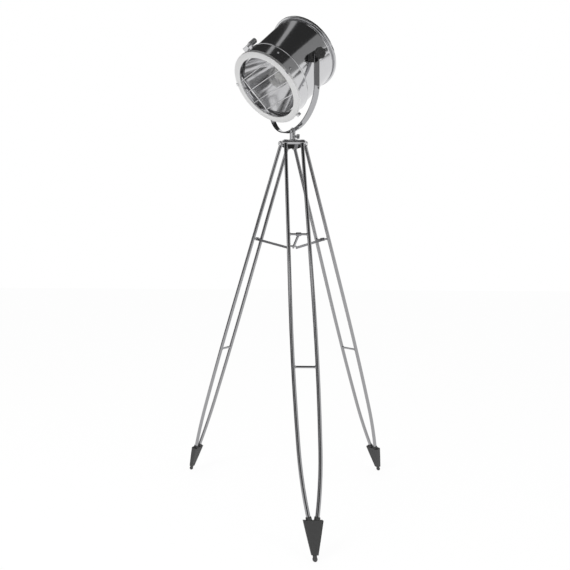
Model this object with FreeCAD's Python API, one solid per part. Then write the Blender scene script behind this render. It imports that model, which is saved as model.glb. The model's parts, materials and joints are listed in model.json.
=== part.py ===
"""Tripod spotlight floor lamp, in millimetres.

Frame: +Z up, the floor at z = 0, the tripod's vertical axis through x = y = 0, the front leg towards -Y.
The head is stored as it stands in use: panned about the post and tilted down about the yoke's pivots.
"""
import FreeCAD
import Part

import math
import os

from FreeCAD import Placement, Rotation, Vector

# ---------------------------------------------------------------- driving sizes
# tripod
LEG_COUNT = 3
PIVOT_HEIGHT = 1180.0        # leg pivot pins above the floor
PIVOT_RADIUS = 31.0          # pins from the tripod's axis
FOOT_RADIUS = 407.0          # feet on the floor, from the tripod's axis

# leg rods: a straight run, a long shallow belly, then a tighter toe into the shoe
ROD_RADIUS = 6.0
ROD_TOP_HALF_GAP = 28.3      # rod centre to leg centre at the hub
ROD_SPLAY = 0.70             # degrees, outwards at the hub
ROD_STRAIGHT = 560.0
ROD_BELLY_RADIUS = 8200.0
ROD_BELLY_TURN = 2.9         # degrees
ROD_TOE_RADIUS = 1150.0
ROD_EYE_RADIUS = 8.5
ROD_EYE_THICKNESS = 12.4

# rungs, measured down the leg from its pivot
UPPER_RUNG_AT = 339.0
LOWER_RUNG_AT = 752.0
RUNG_RADIUS = 3.5
RUNG_GAP = 0.1               # a rung's coped end to the rod

# foot
SHOE_LENGTH = 79.0
SHOE_TOP_WIDTH = 52.0
SHOE_TOP_DEPTH = 18.0
SHOE_TOE_WIDTH = 17.5
SHOE_TOE_DEPTH = 11.0
SHOE_SOCKET_DEPTH = 16.0
SOCKET_CLEARANCE = 0.1
TIP_LENGTH = 15.0            # shoe to floor, along the leg
TIP_BALL_RADIUS = 6.5
TIP_FLAT_RADIUS = 3.2        # worn flat on the floor
TIP_NECK_RADIUS = 4.0
TIP_THREAD_LENGTH = 18.0

# hub and leg pivots
PIN_RADIUS = 4.0
RUNNING = 0.08               # radial running clearance
SIDE_GAP = 0.3               # between faces that slide past each other
HUB_CORE_RADIUS = 22.0
HUB_HALF_HEIGHT = 8.0
HUB_LUG_REACH = 7.5          # lug past the pin
NUT_RADIUS = 6.5
NUT_THICKNESS = 4.0
NUT_DOME = 2.5
CAP_RADIUS = 27.0
CAP_THICKNESS = 3.0
CAP_SCREW_CIRCLE = 17.5
CAP_SCREW_RADIUS = 3.0

# post, spigot and pan lock
POST_RADIUS = 10.0
POST_HEIGHT = 33.5
SPIGOT_RADIUS = 6.0
SPIGOT_LENGTH = 20.0
SPIGOT_FLANGE_RADIUS = 10.0
SPIGOT_FLANGE = 2.0
LOCK_HEIGHT = 17.0           # pan lock screw above the post's foot
LOCK_SHANK_RADIUS = 2.5
LOCK_TIP_GAP = 1.0           # shank's end to the spigot, backed off so that the head can turn
LOCK_HEAD_RADIUS = 8.0
LOCK_HEAD_LENGTH = 10.0
LOCK_COLLAR_LENGTH = 3.0
LOCK_COLLAR_RADIUS = 4.5

# yoke
YOKE_HALF_SPAN = 140.0       # strip centre to the vertical axis
YOKE_DEPTH = 211.0           # strip's lower face to the tilt pivot
YOKE_WIDTH = 20.0
YOKE_THICKNESS = 4.0
YOKE_FLAT = 12.0             # half length of the flat on the post
YOKE_RISE = 115.0            # height of the curved part
YOKE_CORNER = 100.0          # radius where the curve runs into the arms
YOKE_BOLT_RADIUS = 4.0
YOKE_BOLT_HEAD = 7.5
YOKE_WASHER_RADIUS = 9.0
YOKE_WASHER_THICKNESS = 1.2
YOKE_BOLT_LENGTH = 14.0

# where the head stands in the photograph
PAN_ANGLE = -64.7            # heading of the beam from -Y, degrees
TILT_ANGLE = 45.6            # beam below the horizontal, degrees
AXIS_RISE = 20.0             # head's centre line above the pivots, across the beam

# head, measured along the beam from the pivots
SHELL_RADIUS = 126.0
SHEET = 1.2
SHELL_BACK = -86.0
SHELL_FRONT = 86.0
COLLAR_RADIUS = 130.5
COLLAR_BACK = 74.0
COLLAR_FRONT = 129.7
BEZEL_RADIUS = 136.0
BEZEL_BORE = 113.5
BEZEL_THICKNESS = 3.0
BEZEL_LIP = 9.0
BEZEL_FRONT = 133.0
COVER_RADIUS = 133.0
COVER_LIP = 8.0
COVER_BACK = -88.5
COVER_DOME = 13.0
VENT_COUNT = 16
VENT_CIRCLE = 88.0
VENT_WIDTH = 6.0
VENT_LENGTH = 26.0

# grille
WIRE_RADIUS = 2.0
WIRE_PITCH = 43.3
WIRE_RISE = 3.0              # middle of the level wires above the head's centre line
WIRE_COUNT = 4
CROSS_WIRE_AT = -82.0
GRILLE_RING_RADIUS = 117.0

# reflector, bulb and holder
REFLECTOR_MOUTH = 107.0
REFLECTOR_FRONT = 112.0
REFLECTOR_NECK = 21.0
REFLECTOR_BACK = -32.0
REFLECTOR_SHEET = 1.0
HOLDER_RADIUS = 19.0
HOLDER_BACK = -62.0
HOLDER_FRONT = -26.0
HOLDER_WALL = 3.0
BULB_CAP_RADIUS = 13.2
BULB_CAP_BACK = -52.0
BULB_CAP_FRONT = -20.0
BULB_RADIUS = 30.0
BULB_CENTRE = 38.0
BULB_NECK_RADIUS = 11.0
BULB_SHEET = 0.9
BRACKET_WIDTH = 26.0
BRACKET_THICKNESS = 2.0

# tilt pivots, measured outwards from the head's middle plane
STUD_RADIUS = 4.0
SPACER_RADIUS = 17.0
KNOB_RADIUS = 18.5
KNOB_FACE_LENGTH = 13.0
KNOB_HUB_RADIUS = 10.0
KNOB_HUB_LENGTH = 9.0
KNOB_FLUTES = 8
KNOB_FLUTE_RADIUS = 3.6
STUD_PLATE_RADIUS = 15.0
STUD_PLATE_THICKNESS = 2.5

# catch on top of the collar, thumb screw below it, small screws
CATCH_HEIGHT = 17.0
CATCH_WIDTH = 28.0
CATCH_SHEET = 2.0
CATCH_BACK = 80.0
CATCH_FRONT = 100.0
CATCH_KNOB_RADIUS = 9.0
CATCH_KNOB_LENGTH = 30.0
CATCH_KNOB_LIFT = 10.8        # knob's centre line above the collar
THUMB_HEAD_RADIUS = 8.0
THUMB_HEAD_LENGTH = 10.0
THUMB_STEM_RADIUS = 2.5
THUMB_STEM_LENGTH = 4.0
THUMB_AT = 115.0
THUMB_ANGLE = -76.0
COLLAR_SCREWS = 6
COLLAR_SCREW_FIRST = 31.0    # degrees above the right pivot
COLLAR_SCREW_AT = 94.0
COLLAR_SCREW_RADIUS = 3.2
CLIP_ANGLES = (3.0, 150.0)
CLIP_WIDTH = 11.0
CLIP_SHEET = 1.5
CLIP_FOOT_BACK = 108.0
CLIP_FOOT_FRONT = 118.0
CLIP_HOOK_DEPTH = 5.0        # hook's reach in from the bezel's rim
COVER_SCREWS = 4
COVER_SCREW_CIRCLE = 116.0
GLAND_RADIUS = 8.0
GLAND_BORE = 3.6
GLAND_LENGTH = 16.0

# spider between the legs
ARM_WIDTH = 8.0
ARM_THICKNESS = 3.0
ARM_BARREL_RADIUS = 6.0
ARM_BARREL_LENGTH = 14.0
ARM_DROP = 33.0              # inner end below the upper rungs
ARM_END_RADIUS = 15.0        # inner ends from the tripod's axis
BUTTON_RADIUS = 14.0
BUTTON_THICKNESS = 3.0
BUTTON_DOME = 2.0

# ---------------------------------------------------------------- worked out once
LEG_LENGTH = math.hypot(FOOT_RADIUS - PIVOT_RADIUS, PIVOT_HEIGHT)
LEG_LEAN = math.degrees(math.atan2(FOOT_RADIUS - PIVOT_RADIUS, PIVOT_HEIGHT))
SHOE_TOE_AT = LEG_LENGTH - TIP_LENGTH
SHOE_TOP_AT = SHOE_TOE_AT - SHOE_LENGTH
CAP_TOP = PIVOT_HEIGHT + HUB_HALF_HEIGHT + CAP_THICKNESS
POST_TOP = CAP_TOP + POST_HEIGHT
YOKE_BOTTOM = POST_TOP + SIDE_GAP + SPIGOT_FLANGE
HEAD_HEIGHT = YOKE_BOTTOM + YOKE_DEPTH
YOKE_INNER = YOKE_HALF_SPAN - YOKE_THICKNESS / 2
YOKE_OUTER = YOKE_HALF_SPAN + YOKE_THICKNESS / 2
GRILLE_AT = BEZEL_FRONT - BEZEL_THICKNESS - SIDE_GAP - WIRE_RADIUS
TIP_CENTRE_HEIGHT = math.sqrt(TIP_BALL_RADIUS ** 2 - TIP_FLAT_RADIUS ** 2)
LEG_NAMES = ("front", "right", "left")

X, Y, Z = Vector(1, 0, 0), Vector(0, 1, 0), Vector(0, 0, 1)
ORIGIN = Vector(0, 0, 0)


# ---------------------------------------------------------------- helpers
def rod(start, end, radius):
    """A round bar between two points."""
    start, end = Vector(start), Vector(end)
    return Part.makeCylinder(radius, (end - start).Length, start, end - start)


def tube(start, end, outer, inner):
    """A round bar with a bore right through."""
    return rod(start, end, outer).cut(rod(start, end, inner))


def turned(outline, base=ORIGIN, axis=X):
    """A solid turned about an axis from (along, radius) points joined by straight lines."""
    side = Z if axis == X else X
    points = [base + axis * along + side * radius for along, radius in outline]
    face = Part.Face(Part.makePolygon(points + points[:1]))
    return face.revolve(base, axis, 360)


def round_about(shape, count, axis=Z, centre=ORIGIN):
    """Copies of a shape, evenly spaced round an axis."""
    copies = []
    for index in range(count):
        copy = shape.copy()
        copy.rotate(centre, axis, index * 360.0 / count)
        copies.append(copy)
    return copies


def knurled(start, end, radius, ridges, ridge_radius):
    """A round head with grip flutes cut along it."""
    start, end = Vector(start), Vector(end)
    axis = (end - start).normalize()
    side = axis.cross(Z if abs(axis.z) < 0.9 else X).normalize()
    head = rod(start, end, radius)
    flute = rod(start + side * (radius + ridge_radius * 0.45), end + side * (radius + ridge_radius * 0.45),
                ridge_radius)
    for cutter in round_about(flute, ridges, axis, start):
        head = head.cut(cutter)
    return head


def save(name, *shapes):
    """Writes one sub-part, of one or more separate solids."""
    solids = [solid for shape in shapes for solid in shape.Solids]
    for solid in solids:
        if not solid.isValid() or solid.Volume <= 0:
            raise ValueError(name + " has a bad solid")
    whole = solids[0] if len(solids) == 1 else Part.makeCompound(solids)
    whole.exportStep(os.path.join("parts", name + ".step"))


# ---------------------------------------------------------------- leg, hanging straight down from its pivot
def rod_path(side):
    """Centre line of one rod in the leg's own plane: down is -Z, across is X."""
    splay = math.radians(ROD_SPLAY)
    turn = math.radians(ROD_BELLY_TURN)

    def heading(angle):
        return Vector(side * math.sin(angle), 0, -math.cos(angle))

    def inwards(angle):
        return Vector(-side * math.cos(angle), 0, -math.sin(angle))

    top = Vector(side * ROD_TOP_HALF_GAP, 0, 0)
    knee = top + heading(splay) * ROD_STRAIGHT
    belly_centre = knee + inwards(splay) * ROD_BELLY_RADIUS
    belly_middle = belly_centre - inwards(splay - turn / 2) * ROD_BELLY_RADIUS
    belly_end = belly_centre - inwards(splay - turn) * ROD_BELLY_RADIUS
    toe_centre = belly_end + inwards(splay - turn) * ROD_TOE_RADIUS
    toe_depth = -toe_centre.z - SHOE_TOP_AT - SHOE_SOCKET_DEPTH
    toe_angle = math.asin(-toe_depth / ROD_TOE_RADIUS)
    start_angle = turn - splay
    toe_middle = toe_centre - inwards(-(start_angle + toe_angle) / 2) * ROD_TOE_RADIUS
    toe_end = toe_centre - inwards(-toe_angle) * ROD_TOE_RADIUS
    edges = [
        Part.LineSegment(top, knee).toShape(),
        Part.Arc(knee, belly_middle, belly_end).toShape(),
        Part.Arc(belly_end, toe_middle, toe_end).toShape(),
    ]
    return Part.Wire(edges), top, heading(splay)


def rod_body(side, radius):
    """The bent bar alone."""
    path, top, heading = rod_path(side)
    section = Part.Wire(Part.Circle(top, heading, radius).toShape())
    return path.makePipeShell([section], True, False)


def leg_rod(side):
    """A bent rod with the eye that turns on the hub's pin."""
    centre = Vector(side * ROD_TOP_HALF_GAP, 0, 0)
    half = X * (ROD_EYE_THICKNESS / 2)
    eye = rod(centre - half, centre + half, ROD_EYE_RADIUS)
    hole = rod(centre - half * 2, centre + half * 2, PIN_RADIUS + RUNNING)
    return rod_body(side, ROD_RADIUS).fuse(eye).cut(hole)


def rung(depth):
    """A cross bar between the rods, coped to fit them."""
    reach = X * (ROD_TOP_HALF_GAP * 2)
    bar = rod(Vector(0, 0, -depth) - reach, Vector(0, 0, -depth) + reach, RUNG_RADIUS)
    for side in (-1, 1):
        bar = bar.cut(rod_body(side, ROD_RADIUS + RUNG_GAP))
    return max(bar.Solids, key=lambda solid: -abs(solid.CenterOfMass.x))


def rectangle(width, depth, level):
    """A level rectangle as a closed wire."""
    half_x, half_y = width / 2, depth / 2
    corners = [Vector(-half_x, -half_y, level), Vector(half_x, -half_y, level),
               Vector(half_x, half_y, level), Vector(-half_x, half_y, level)]
    return Part.makePolygon(corners + corners[:1])


def foot_shoe():
    """Tapered shoe with a socket for each rod and a threaded hole for the tip."""
    shoe = Part.makeLoft([rectangle(SHOE_TOP_WIDTH, SHOE_TOP_DEPTH, -SHOE_TOP_AT),
                          rectangle(SHOE_TOE_WIDTH, SHOE_TOE_DEPTH, -SHOE_TOE_AT)], True, True)
    for side in (-1, 1):
        shoe = shoe.cut(rod_body(side, ROD_RADIUS + SOCKET_CLEARANCE))
    hole = rod(Vector(0, 0, -SHOE_TOE_AT - 1), Vector(0, 0, -SHOE_TOE_AT + TIP_THREAD_LENGTH + SIDE_GAP),
               TIP_NECK_RADIUS + RUNNING)
    return shoe.cut(hole)


def foot_tip():
    """Ball-ended levelling tip, screwed into the shoe and worn flat where it meets the floor."""
    centre = Vector(0, 0, -LEG_LENGTH + TIP_CENTRE_HEIGHT / math.cos(math.radians(LEG_LEAN)))
    ball = Part.makeSphere(TIP_BALL_RADIUS, centre)
    stem = rod(Vector(0, 0, -SHOE_TOE_AT + TIP_THREAD_LENGTH), centre, TIP_NECK_RADIUS)
    collar = rod(Vector(0, 0, -SHOE_TOE_AT - SIDE_GAP), centre, TIP_NECK_RADIUS + 1.5)
    return ball.fuse([stem, collar]).removeSplitter()


def stand_leg(shape, index):
    """Takes a piece of a hanging leg to its place under the hub."""
    placed = shape.copy()
    placed.rotate(ORIGIN, X, -LEG_LEAN)
    placed.translate(Vector(0, -PIVOT_RADIUS, PIVOT_HEIGHT))
    placed.rotate(ORIGIN, Z, index * 360.0 / LEG_COUNT)
    return placed


def floor_cut(shape):
    """Takes off whatever reaches below the floor."""
    block = 4 * FOOT_RADIUS
    return shape.cut(Part.makeBox(block, block, block, Vector(-block / 2, -block / 2, -block)))


def build_legs():
    """Two rods, two rungs, a shoe and a tip for each leg."""
    pieces = {
        "rod_left": leg_rod(-1),
        "rod_right": leg_rod(1),
        "upper_rung": rung(UPPER_RUNG_AT),
        "lower_rung": rung(LOWER_RUNG_AT),
        "foot_shoe": foot_shoe(),
        "foot_tip": foot_tip(),
    }
    for index, leg in enumerate(LEG_NAMES):
        for part, shape in pieces.items():
            placed = stand_leg(shape, index)
            if part == "foot_tip":
                placed = floor_cut(placed)
            save(leg + "_" + part, placed)


# ---------------------------------------------------------------- hub, pins and post
def hub_lug():
    """The block that fills the gap between one leg's two eyes."""
    half = ROD_TOP_HALF_GAP - ROD_EYE_THICKNESS / 2 - SIDE_GAP
    block = Part.makeBox(2 * half, PIVOT_RADIUS, 2 * HUB_HALF_HEIGHT,
                         Vector(-half, -PIVOT_RADIUS, PIVOT_HEIGHT - HUB_HALF_HEIGHT))
    nose = rod(Vector(-half, -PIVOT_RADIUS, PIVOT_HEIGHT), Vector(half, -PIVOT_RADIUS, PIVOT_HEIGHT),
               HUB_LUG_REACH)
    return block.fuse(nose)


def lug_hole():
    """Clearance for one pin through its lug."""
    reach = X * (2 * ROD_TOP_HALF_GAP)
    middle = Vector(0, -PIVOT_RADIUS, PIVOT_HEIGHT)
    return rod(middle - reach, middle + reach, PIN_RADIUS + RUNNING)


def eye_room():
    """Room for the rod eyes to swing beside the hub's core."""
    cutters = []
    for side in (-1, 1):
        middle = Vector(side * ROD_TOP_HALF_GAP, -PIVOT_RADIUS, PIVOT_HEIGHT)
        half = X * (ROD_EYE_THICKNESS / 2 + SIDE_GAP)
        cutters.append(rod(middle - half, middle + half, ROD_EYE_RADIUS + 2 * SIDE_GAP))
    return cutters[0].fuse(cutters[1])


def build_hub():
    """Cast hub, pins and nuts, cap, cap screws and post."""
    core = rod(Z * (PIVOT_HEIGHT - HUB_HALF_HEIGHT), Z * (PIVOT_HEIGHT + HUB_HALF_HEIGHT), HUB_CORE_RADIUS)
    hub = core.fuse(round_about(hub_lug(), LEG_COUNT))
    for cutter in round_about(lug_hole(), LEG_COUNT) + round_about(eye_room(), LEG_COUNT):
        hub = hub.cut(cutter)
    save("hub_casting", hub.removeSplitter())

    grip = ROD_TOP_HALF_GAP + ROD_EYE_THICKNESS / 2 + SIDE_GAP
    middle = Vector(0, -PIVOT_RADIUS, PIVOT_HEIGHT)
    pin = rod(middle - X * (grip + NUT_THICKNESS), middle + X * (grip + NUT_THICKNESS), PIN_RADIUS)
    save("leg_pivot_pins", *round_about(pin, LEG_COUNT))
    nuts = []
    for side in (-1, 1):
        base = middle + X * (side * grip)
        nut = turned([(0, 0), (0, NUT_RADIUS), (NUT_THICKNESS, NUT_RADIUS),
                      (NUT_THICKNESS + NUT_DOME, NUT_RADIUS * 0.55), (NUT_THICKNESS + NUT_DOME, 0)])
        if side < 0:
            nut.rotate(ORIGIN, Z, 180)
        nut.translate(base)
        nuts.append(nut.cut(rod(base - X * side, base + X * (side * (NUT_THICKNESS + 0.05)),
                                PIN_RADIUS + RUNNING / 4)))
    save("leg_pin_nuts", *[copy for nut in nuts for copy in round_about(nut, LEG_COUNT)])

    cap_base = PIVOT_HEIGHT + HUB_HALF_HEIGHT
    save("hub_cap", rod(Z * cap_base, Z * CAP_TOP, CAP_RADIUS))
    screw = turned([(0, 0), (0, CAP_SCREW_RADIUS), (1.0, CAP_SCREW_RADIUS), (2.0, CAP_SCREW_RADIUS * 0.6), (2.0, 0)],
                   Vector(0, CAP_SCREW_CIRCLE, CAP_TOP), Z)
    save("hub_cap_screws", *round_about(screw, LEG_COUNT))

    bore_foot = POST_TOP - SPIGOT_LENGTH - SIDE_GAP
    post = rod(Z * CAP_TOP, Z * POST_TOP, POST_RADIUS)
    post = post.cut(rod(Z * bore_foot, Z * (POST_TOP + 1), SPIGOT_RADIUS + RUNNING))
    lock_z = CAP_TOP + LOCK_HEIGHT
    post = post.cut(rod(Z * lock_z, Vector(POST_RADIUS + 1, 0, lock_z), LOCK_SHANK_RADIUS + RUNNING))
    save("post", post)

    head_from = POST_RADIUS + SIDE_GAP
    shank = rod(Vector(SPIGOT_RADIUS + LOCK_TIP_GAP, 0, lock_z), Vector(head_from + 1, 0, lock_z), LOCK_SHANK_RADIUS)
    collar_end = head_from + LOCK_COLLAR_LENGTH
    collar = rod(Vector(head_from, 0, lock_z), Vector(collar_end, 0, lock_z), LOCK_COLLAR_RADIUS)
    head = knurled(Vector(collar_end, 0, lock_z), Vector(collar_end + LOCK_HEAD_LENGTH, 0, lock_z),
                   LOCK_HEAD_RADIUS, 16, 1.2)
    save("pan_lock_screw", shank.fuse([collar, head]).removeSplitter())


# ---------------------------------------------------------------- spider
def arm_line():
    """Outer and inner ends of the front arm's centre line, and the rung it hangs from."""
    lean = math.radians(LEG_LEAN)
    rung_centre = Vector(0, -PIVOT_RADIUS - UPPER_RUNG_AT * math.sin(lean),
                         PIVOT_HEIGHT - UPPER_RUNG_AT * math.cos(lean))
    inner = Vector(0, -ARM_END_RADIUS, rung_centre.z - ARM_DROP)
    return rung_centre, inner


def build_spider():
    """Three arms that turn on the upper rungs, with a small centre button over their inner ends."""
    outer, inner = arm_line()
    along = (inner - outer).normalize()
    up = X.cross(along).normalize()
    if up.z < 0:
        up = up * -1
    length = (inner - outer).Length
    start = outer + along * (RUNG_RADIUS + 1.0) - X * (ARM_WIDTH / 2) - up * (ARM_THICKNESS / 2)
    bar = Part.makeBox(ARM_WIDTH, length - RUNG_RADIUS - 1.0, ARM_THICKNESS)
    bar.Placement = Placement(start, Rotation(X, along, up, "XYZ"))
    half = X * (ARM_BARREL_LENGTH / 2)
    barrel = rod(outer - half, outer + half, ARM_BARREL_RADIUS)
    bore = rod(outer - half * 2, outer + half * 2, RUNG_RADIUS + RUNNING)
    arm = bar.fuse(barrel).cut(bore)
    for index, leg in enumerate(LEG_NAMES):
        placed = arm.copy()
        placed.rotate(ORIGIN, Z, index * 360.0 / LEG_COUNT)
        save(leg + "_spider_arm", placed)

    seat = inner.z + ARM_THICKNESS / 2 + SIDE_GAP
    button = turned([(0, 0), (0, BUTTON_RADIUS), (BUTTON_THICKNESS, BUTTON_RADIUS),
                     (BUTTON_THICKNESS + BUTTON_DOME, BUTTON_RADIUS * 0.6), (BUTTON_THICKNESS + BUTTON_DOME, 0)],
                    Z * seat, Z)
    save("spider_button", button)


# ---------------------------------------------------------------- yoke
def yoke_side(offset):
    """Half outline of the strip at an offset from its centre line: flat, big arc, corner arc, arm."""
    span = YOKE_HALF_SPAN - YOKE_FLAT
    big = (span ** 2 + YOKE_RISE ** 2 - 2 * span * YOKE_CORNER) / (2 * (YOKE_RISE - YOKE_CORNER))
    big_centre = Vector(0, YOKE_FLAT, big)
    corner_centre = Vector(0, YOKE_HALF_SPAN - YOKE_CORNER, YOKE_RISE)
    meet_angle = math.atan2(big_centre.z - corner_centre.z, corner_centre.y - big_centre.y)

    def on(centre, radius, angle):
        return centre + Vector(0, math.cos(angle), -math.sin(angle)) * (radius + offset)

    flat_end = Vector(0, YOKE_FLAT, -offset)
    big_middle = on(big_centre, big, (math.pi / 2 + meet_angle) / 2)
    meet = on(big_centre, big, meet_angle)
    corner_middle = on(corner_centre, YOKE_CORNER, meet_angle / 2)
    arm_foot = Vector(0, YOKE_HALF_SPAN + offset, YOKE_RISE)
    arm_top = Vector(0, YOKE_HALF_SPAN + offset, YOKE_DEPTH + YOKE_WIDTH / 2)
    return flat_end, big_middle, meet, corner_middle, arm_foot, arm_top


def mirrored(point):
    """The same point on the other arm."""
    return Vector(point.x, -point.y, point.z)


def side_edges(points):
    """Edges from the flat's end up to the arm's top."""
    flat_end, big_middle, meet, corner_middle, arm_foot, arm_top = points
    return [Part.Arc(flat_end, big_middle, meet).toShape(), Part.Arc(meet, corner_middle, arm_foot).toShape(),
            Part.LineSegment(arm_foot, arm_top).toShape()]


def yoke_strip():
    """Bent flat strip in the Y-Z plane, its lower face at z = 0, with round ends and three holes."""
    half = YOKE_THICKNESS / 2
    outlines = [[point + Vector(0, 0, half) for point in yoke_side(offset)] for offset in (half, -half)]
    edges = []
    for points in outlines:
        edges += side_edges(points) + side_edges([mirrored(point) for point in points])
        edges.append(Part.LineSegment(points[0], mirrored(points[0])).toShape())
    for flip in (lambda point: point, mirrored):
        edges.append(Part.LineSegment(flip(outlines[0][-1]), flip(outlines[1][-1])).toShape())
    face = Part.Face(Part.Wire(Part.__sortEdges__(edges)))
    strip = face.extrude(X * YOKE_WIDTH)
    strip.translate(X * (-YOKE_WIDTH / 2))

    reach = YOKE_OUTER + 1
    round_end = rod(Vector(0, -reach, YOKE_DEPTH), Vector(0, reach, YOKE_DEPTH), YOKE_WIDTH / 2)
    below = Part.makeBox(YOKE_WIDTH, 2 * reach, YOKE_DEPTH + 1, Vector(-YOKE_WIDTH / 2, -reach, -1))
    strip = strip.common(below.fuse(round_end))
    strip = strip.cut(rod(Vector(0, -reach, YOKE_DEPTH), Vector(0, reach, YOKE_DEPTH), STUD_RADIUS + RUNNING))
    return strip.cut(rod(Z * -1, Z * (YOKE_THICKNESS + 1), YOKE_BOLT_RADIUS + RUNNING))


def pan_place(shape):
    """Turns a piece of the yoke to the pan angle and sets it on the post."""
    placed = shape.copy()
    placed.translate(Z * YOKE_BOTTOM)
    placed.rotate(ORIGIN, Z, PAN_ANGLE - 90)
    return placed


def build_yoke():
    """Strip, spigot, bolt and washer, all in the yoke's own frame with the strip's lower face at z = 0."""
    save("yoke", pan_place(yoke_strip()))
    spigot = rod(Z * (-SPIGOT_FLANGE - SPIGOT_LENGTH), ORIGIN, SPIGOT_RADIUS)
    spigot = spigot.fuse(rod(Z * -SPIGOT_FLANGE, ORIGIN, SPIGOT_FLANGE_RADIUS))
    spigot = spigot.cut(rod(Z * (-YOKE_BOLT_LENGTH - SIDE_GAP), Z, YOKE_BOLT_RADIUS + RUNNING / 4))
    save("yoke_spigot", pan_place(spigot.removeSplitter()))
    washer = tube(Z * YOKE_THICKNESS, Z * (YOKE_THICKNESS + YOKE_WASHER_THICKNESS), YOKE_WASHER_RADIUS,
                  YOKE_BOLT_RADIUS + RUNNING)
    save("yoke_washer", pan_place(washer))
    seat = YOKE_THICKNESS + YOKE_WASHER_THICKNESS
    head = turned([(0, 0), (0, YOKE_BOLT_HEAD), (2.5, YOKE_BOLT_HEAD), (5.0, YOKE_BOLT_HEAD * 0.75),
                   (6.5, YOKE_BOLT_HEAD * 0.35), (6.5, 0)], Z * seat, Z)
    bolt = rod(Z * -YOKE_BOLT_LENGTH, Z * (seat + 0.5), YOKE_BOLT_RADIUS).fuse(head)
    save("yoke_bolt", pan_place(bolt.removeSplitter()))


# ---------------------------------------------------------------- head, with the beam along +X and the pivots on Y
def head_place(shape):
    """Tilts and pans a piece of the head and lifts it to the pivots."""
    placed = shape.copy()
    placed.rotate(ORIGIN, Y, TILT_ANGLE)
    placed.rotate(ORIGIN, Z, PAN_ANGLE - 90)
    placed.translate(Z * HEAD_HEIGHT)
    return placed


def on_beam(along, radius=0.0, angle=0.0):
    """A point round the head's centre line; 0 degrees is the right pivot's side, 90 is the top."""
    turn = math.radians(angle)
    return Vector(along, radius * math.cos(turn), AXIS_RISE + radius * math.sin(turn))


def beam_turned(outline):
    """A solid turned about the head's centre line."""
    return turned(outline, on_beam(0), X)


def ring_outline(back, front, outer, inner):
    """Outline of a plain ring."""
    return [(back, inner), (back, outer), (front, outer), (front, inner)]


def radial(along, start, end, angle, radius):
    """A round bar that points away from the centre line."""
    return rod(on_beam(along, start, angle), on_beam(along, end, angle), radius)


def head_shell():
    """Rear drum with a hole for each pivot stud."""
    shell = beam_turned(ring_outline(SHELL_BACK, SHELL_FRONT, SHELL_RADIUS, SHELL_RADIUS - SHEET))
    return shell.cut(rod(Y * -SHELL_RADIUS, Y * SHELL_RADIUS, STUD_RADIUS + RUNNING))


def front_collar():
    """Wider front drum with an inward flange that grips the shell and one behind the bezel."""
    grip = SHELL_RADIUS + SOCKET_CLEARANCE
    outline = [(COLLAR_BACK, grip), (COLLAR_BACK + 1.5, COLLAR_RADIUS), (COLLAR_FRONT, COLLAR_RADIUS),
               (COLLAR_FRONT, GRILLE_RING_RADIUS + WIRE_RADIUS + 1.0),
               (COLLAR_FRONT - SHEET, GRILLE_RING_RADIUS + WIRE_RADIUS + 1.0),
               (COLLAR_FRONT - SHEET, COLLAR_RADIUS - SHEET), (COLLAR_BACK + 3.0, COLLAR_RADIUS - SHEET),
               (COLLAR_BACK + 3.0, grip)]
    return beam_turned(outline)


def bezel():
    """Flat front ring with a short turned-back lip."""
    back = BEZEL_FRONT - BEZEL_THICKNESS
    outline = [(back, BEZEL_BORE), (BEZEL_FRONT - 0.6, BEZEL_BORE), (BEZEL_FRONT, BEZEL_BORE + 0.6),
               (BEZEL_FRONT, BEZEL_RADIUS - 1.2), (BEZEL_FRONT - 1.2, BEZEL_RADIUS),
               (BEZEL_FRONT - BEZEL_LIP, BEZEL_RADIUS), (BEZEL_FRONT - BEZEL_LIP, BEZEL_RADIUS - SHEET),
               (back, BEZEL_RADIUS - SHEET)]
    return beam_turned(outline)


def grille_wires():
    """Four level wires and the upright one behind them."""
    wires = []
    reach = GRILLE_RING_RADIUS - WIRE_RADIUS - RUNNING
    for index in range(WIRE_COUNT):
        height = WIRE_RISE + (index - (WIRE_COUNT - 1) / 2) * WIRE_PITCH
        half = math.sqrt(reach ** 2 - (abs(height) + WIRE_RADIUS) ** 2)
        wires.append(rod(Vector(GRILLE_AT, -half, AXIS_RISE + height), Vector(GRILLE_AT, half, AXIS_RISE + height),
                         WIRE_RADIUS))
    half = math.sqrt(reach ** 2 - (abs(CROSS_WIRE_AT) + WIRE_RADIUS) ** 2) - 1.0
    behind = GRILLE_AT - 2 * WIRE_RADIUS - RUNNING
    wires.append(rod(Vector(behind, CROSS_WIRE_AT, AXIS_RISE - half), Vector(behind, CROSS_WIRE_AT, AXIS_RISE + half),
                     WIRE_RADIUS))
    return wires


def reflector_radius(along):
    """Parabola through the mouth, measured from the reflector's own vertex."""
    focal = REFLECTOR_MOUTH ** 2 / (4 * (REFLECTOR_FRONT - REFLECTOR_BACK))
    return math.sqrt(4 * focal * max(along - REFLECTOR_BACK, 0.0))


def reflector():
    """Polished bowl round the bulb, with a rolled flange that sits inside the collar."""
    steps = 14
    neck_at = REFLECTOR_BACK + (REFLECTOR_FRONT - REFLECTOR_BACK) * (REFLECTOR_NECK / REFLECTOR_MOUTH) ** 2
    stations = [neck_at + (REFLECTOR_FRONT - neck_at) * (index / steps) ** 1.5 for index in range(steps + 1)]
    flange = COLLAR_RADIUS - SHEET - SOCKET_CLEARANCE
    inner = [(at, reflector_radius(at)) for at in stations]
    outer = [(at - REFLECTOR_SHEET * 0.7, radius + REFLECTOR_SHEET) for at, radius in reversed(inner)]
    outline = inner + [(REFLECTOR_FRONT, flange), (REFLECTOR_FRONT - REFLECTOR_SHEET, flange)]
    outline.append((REFLECTOR_FRONT - REFLECTOR_SHEET, REFLECTOR_MOUTH + REFLECTOR_SHEET + 1.0))
    return beam_turned(outline + outer[1:])


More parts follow.
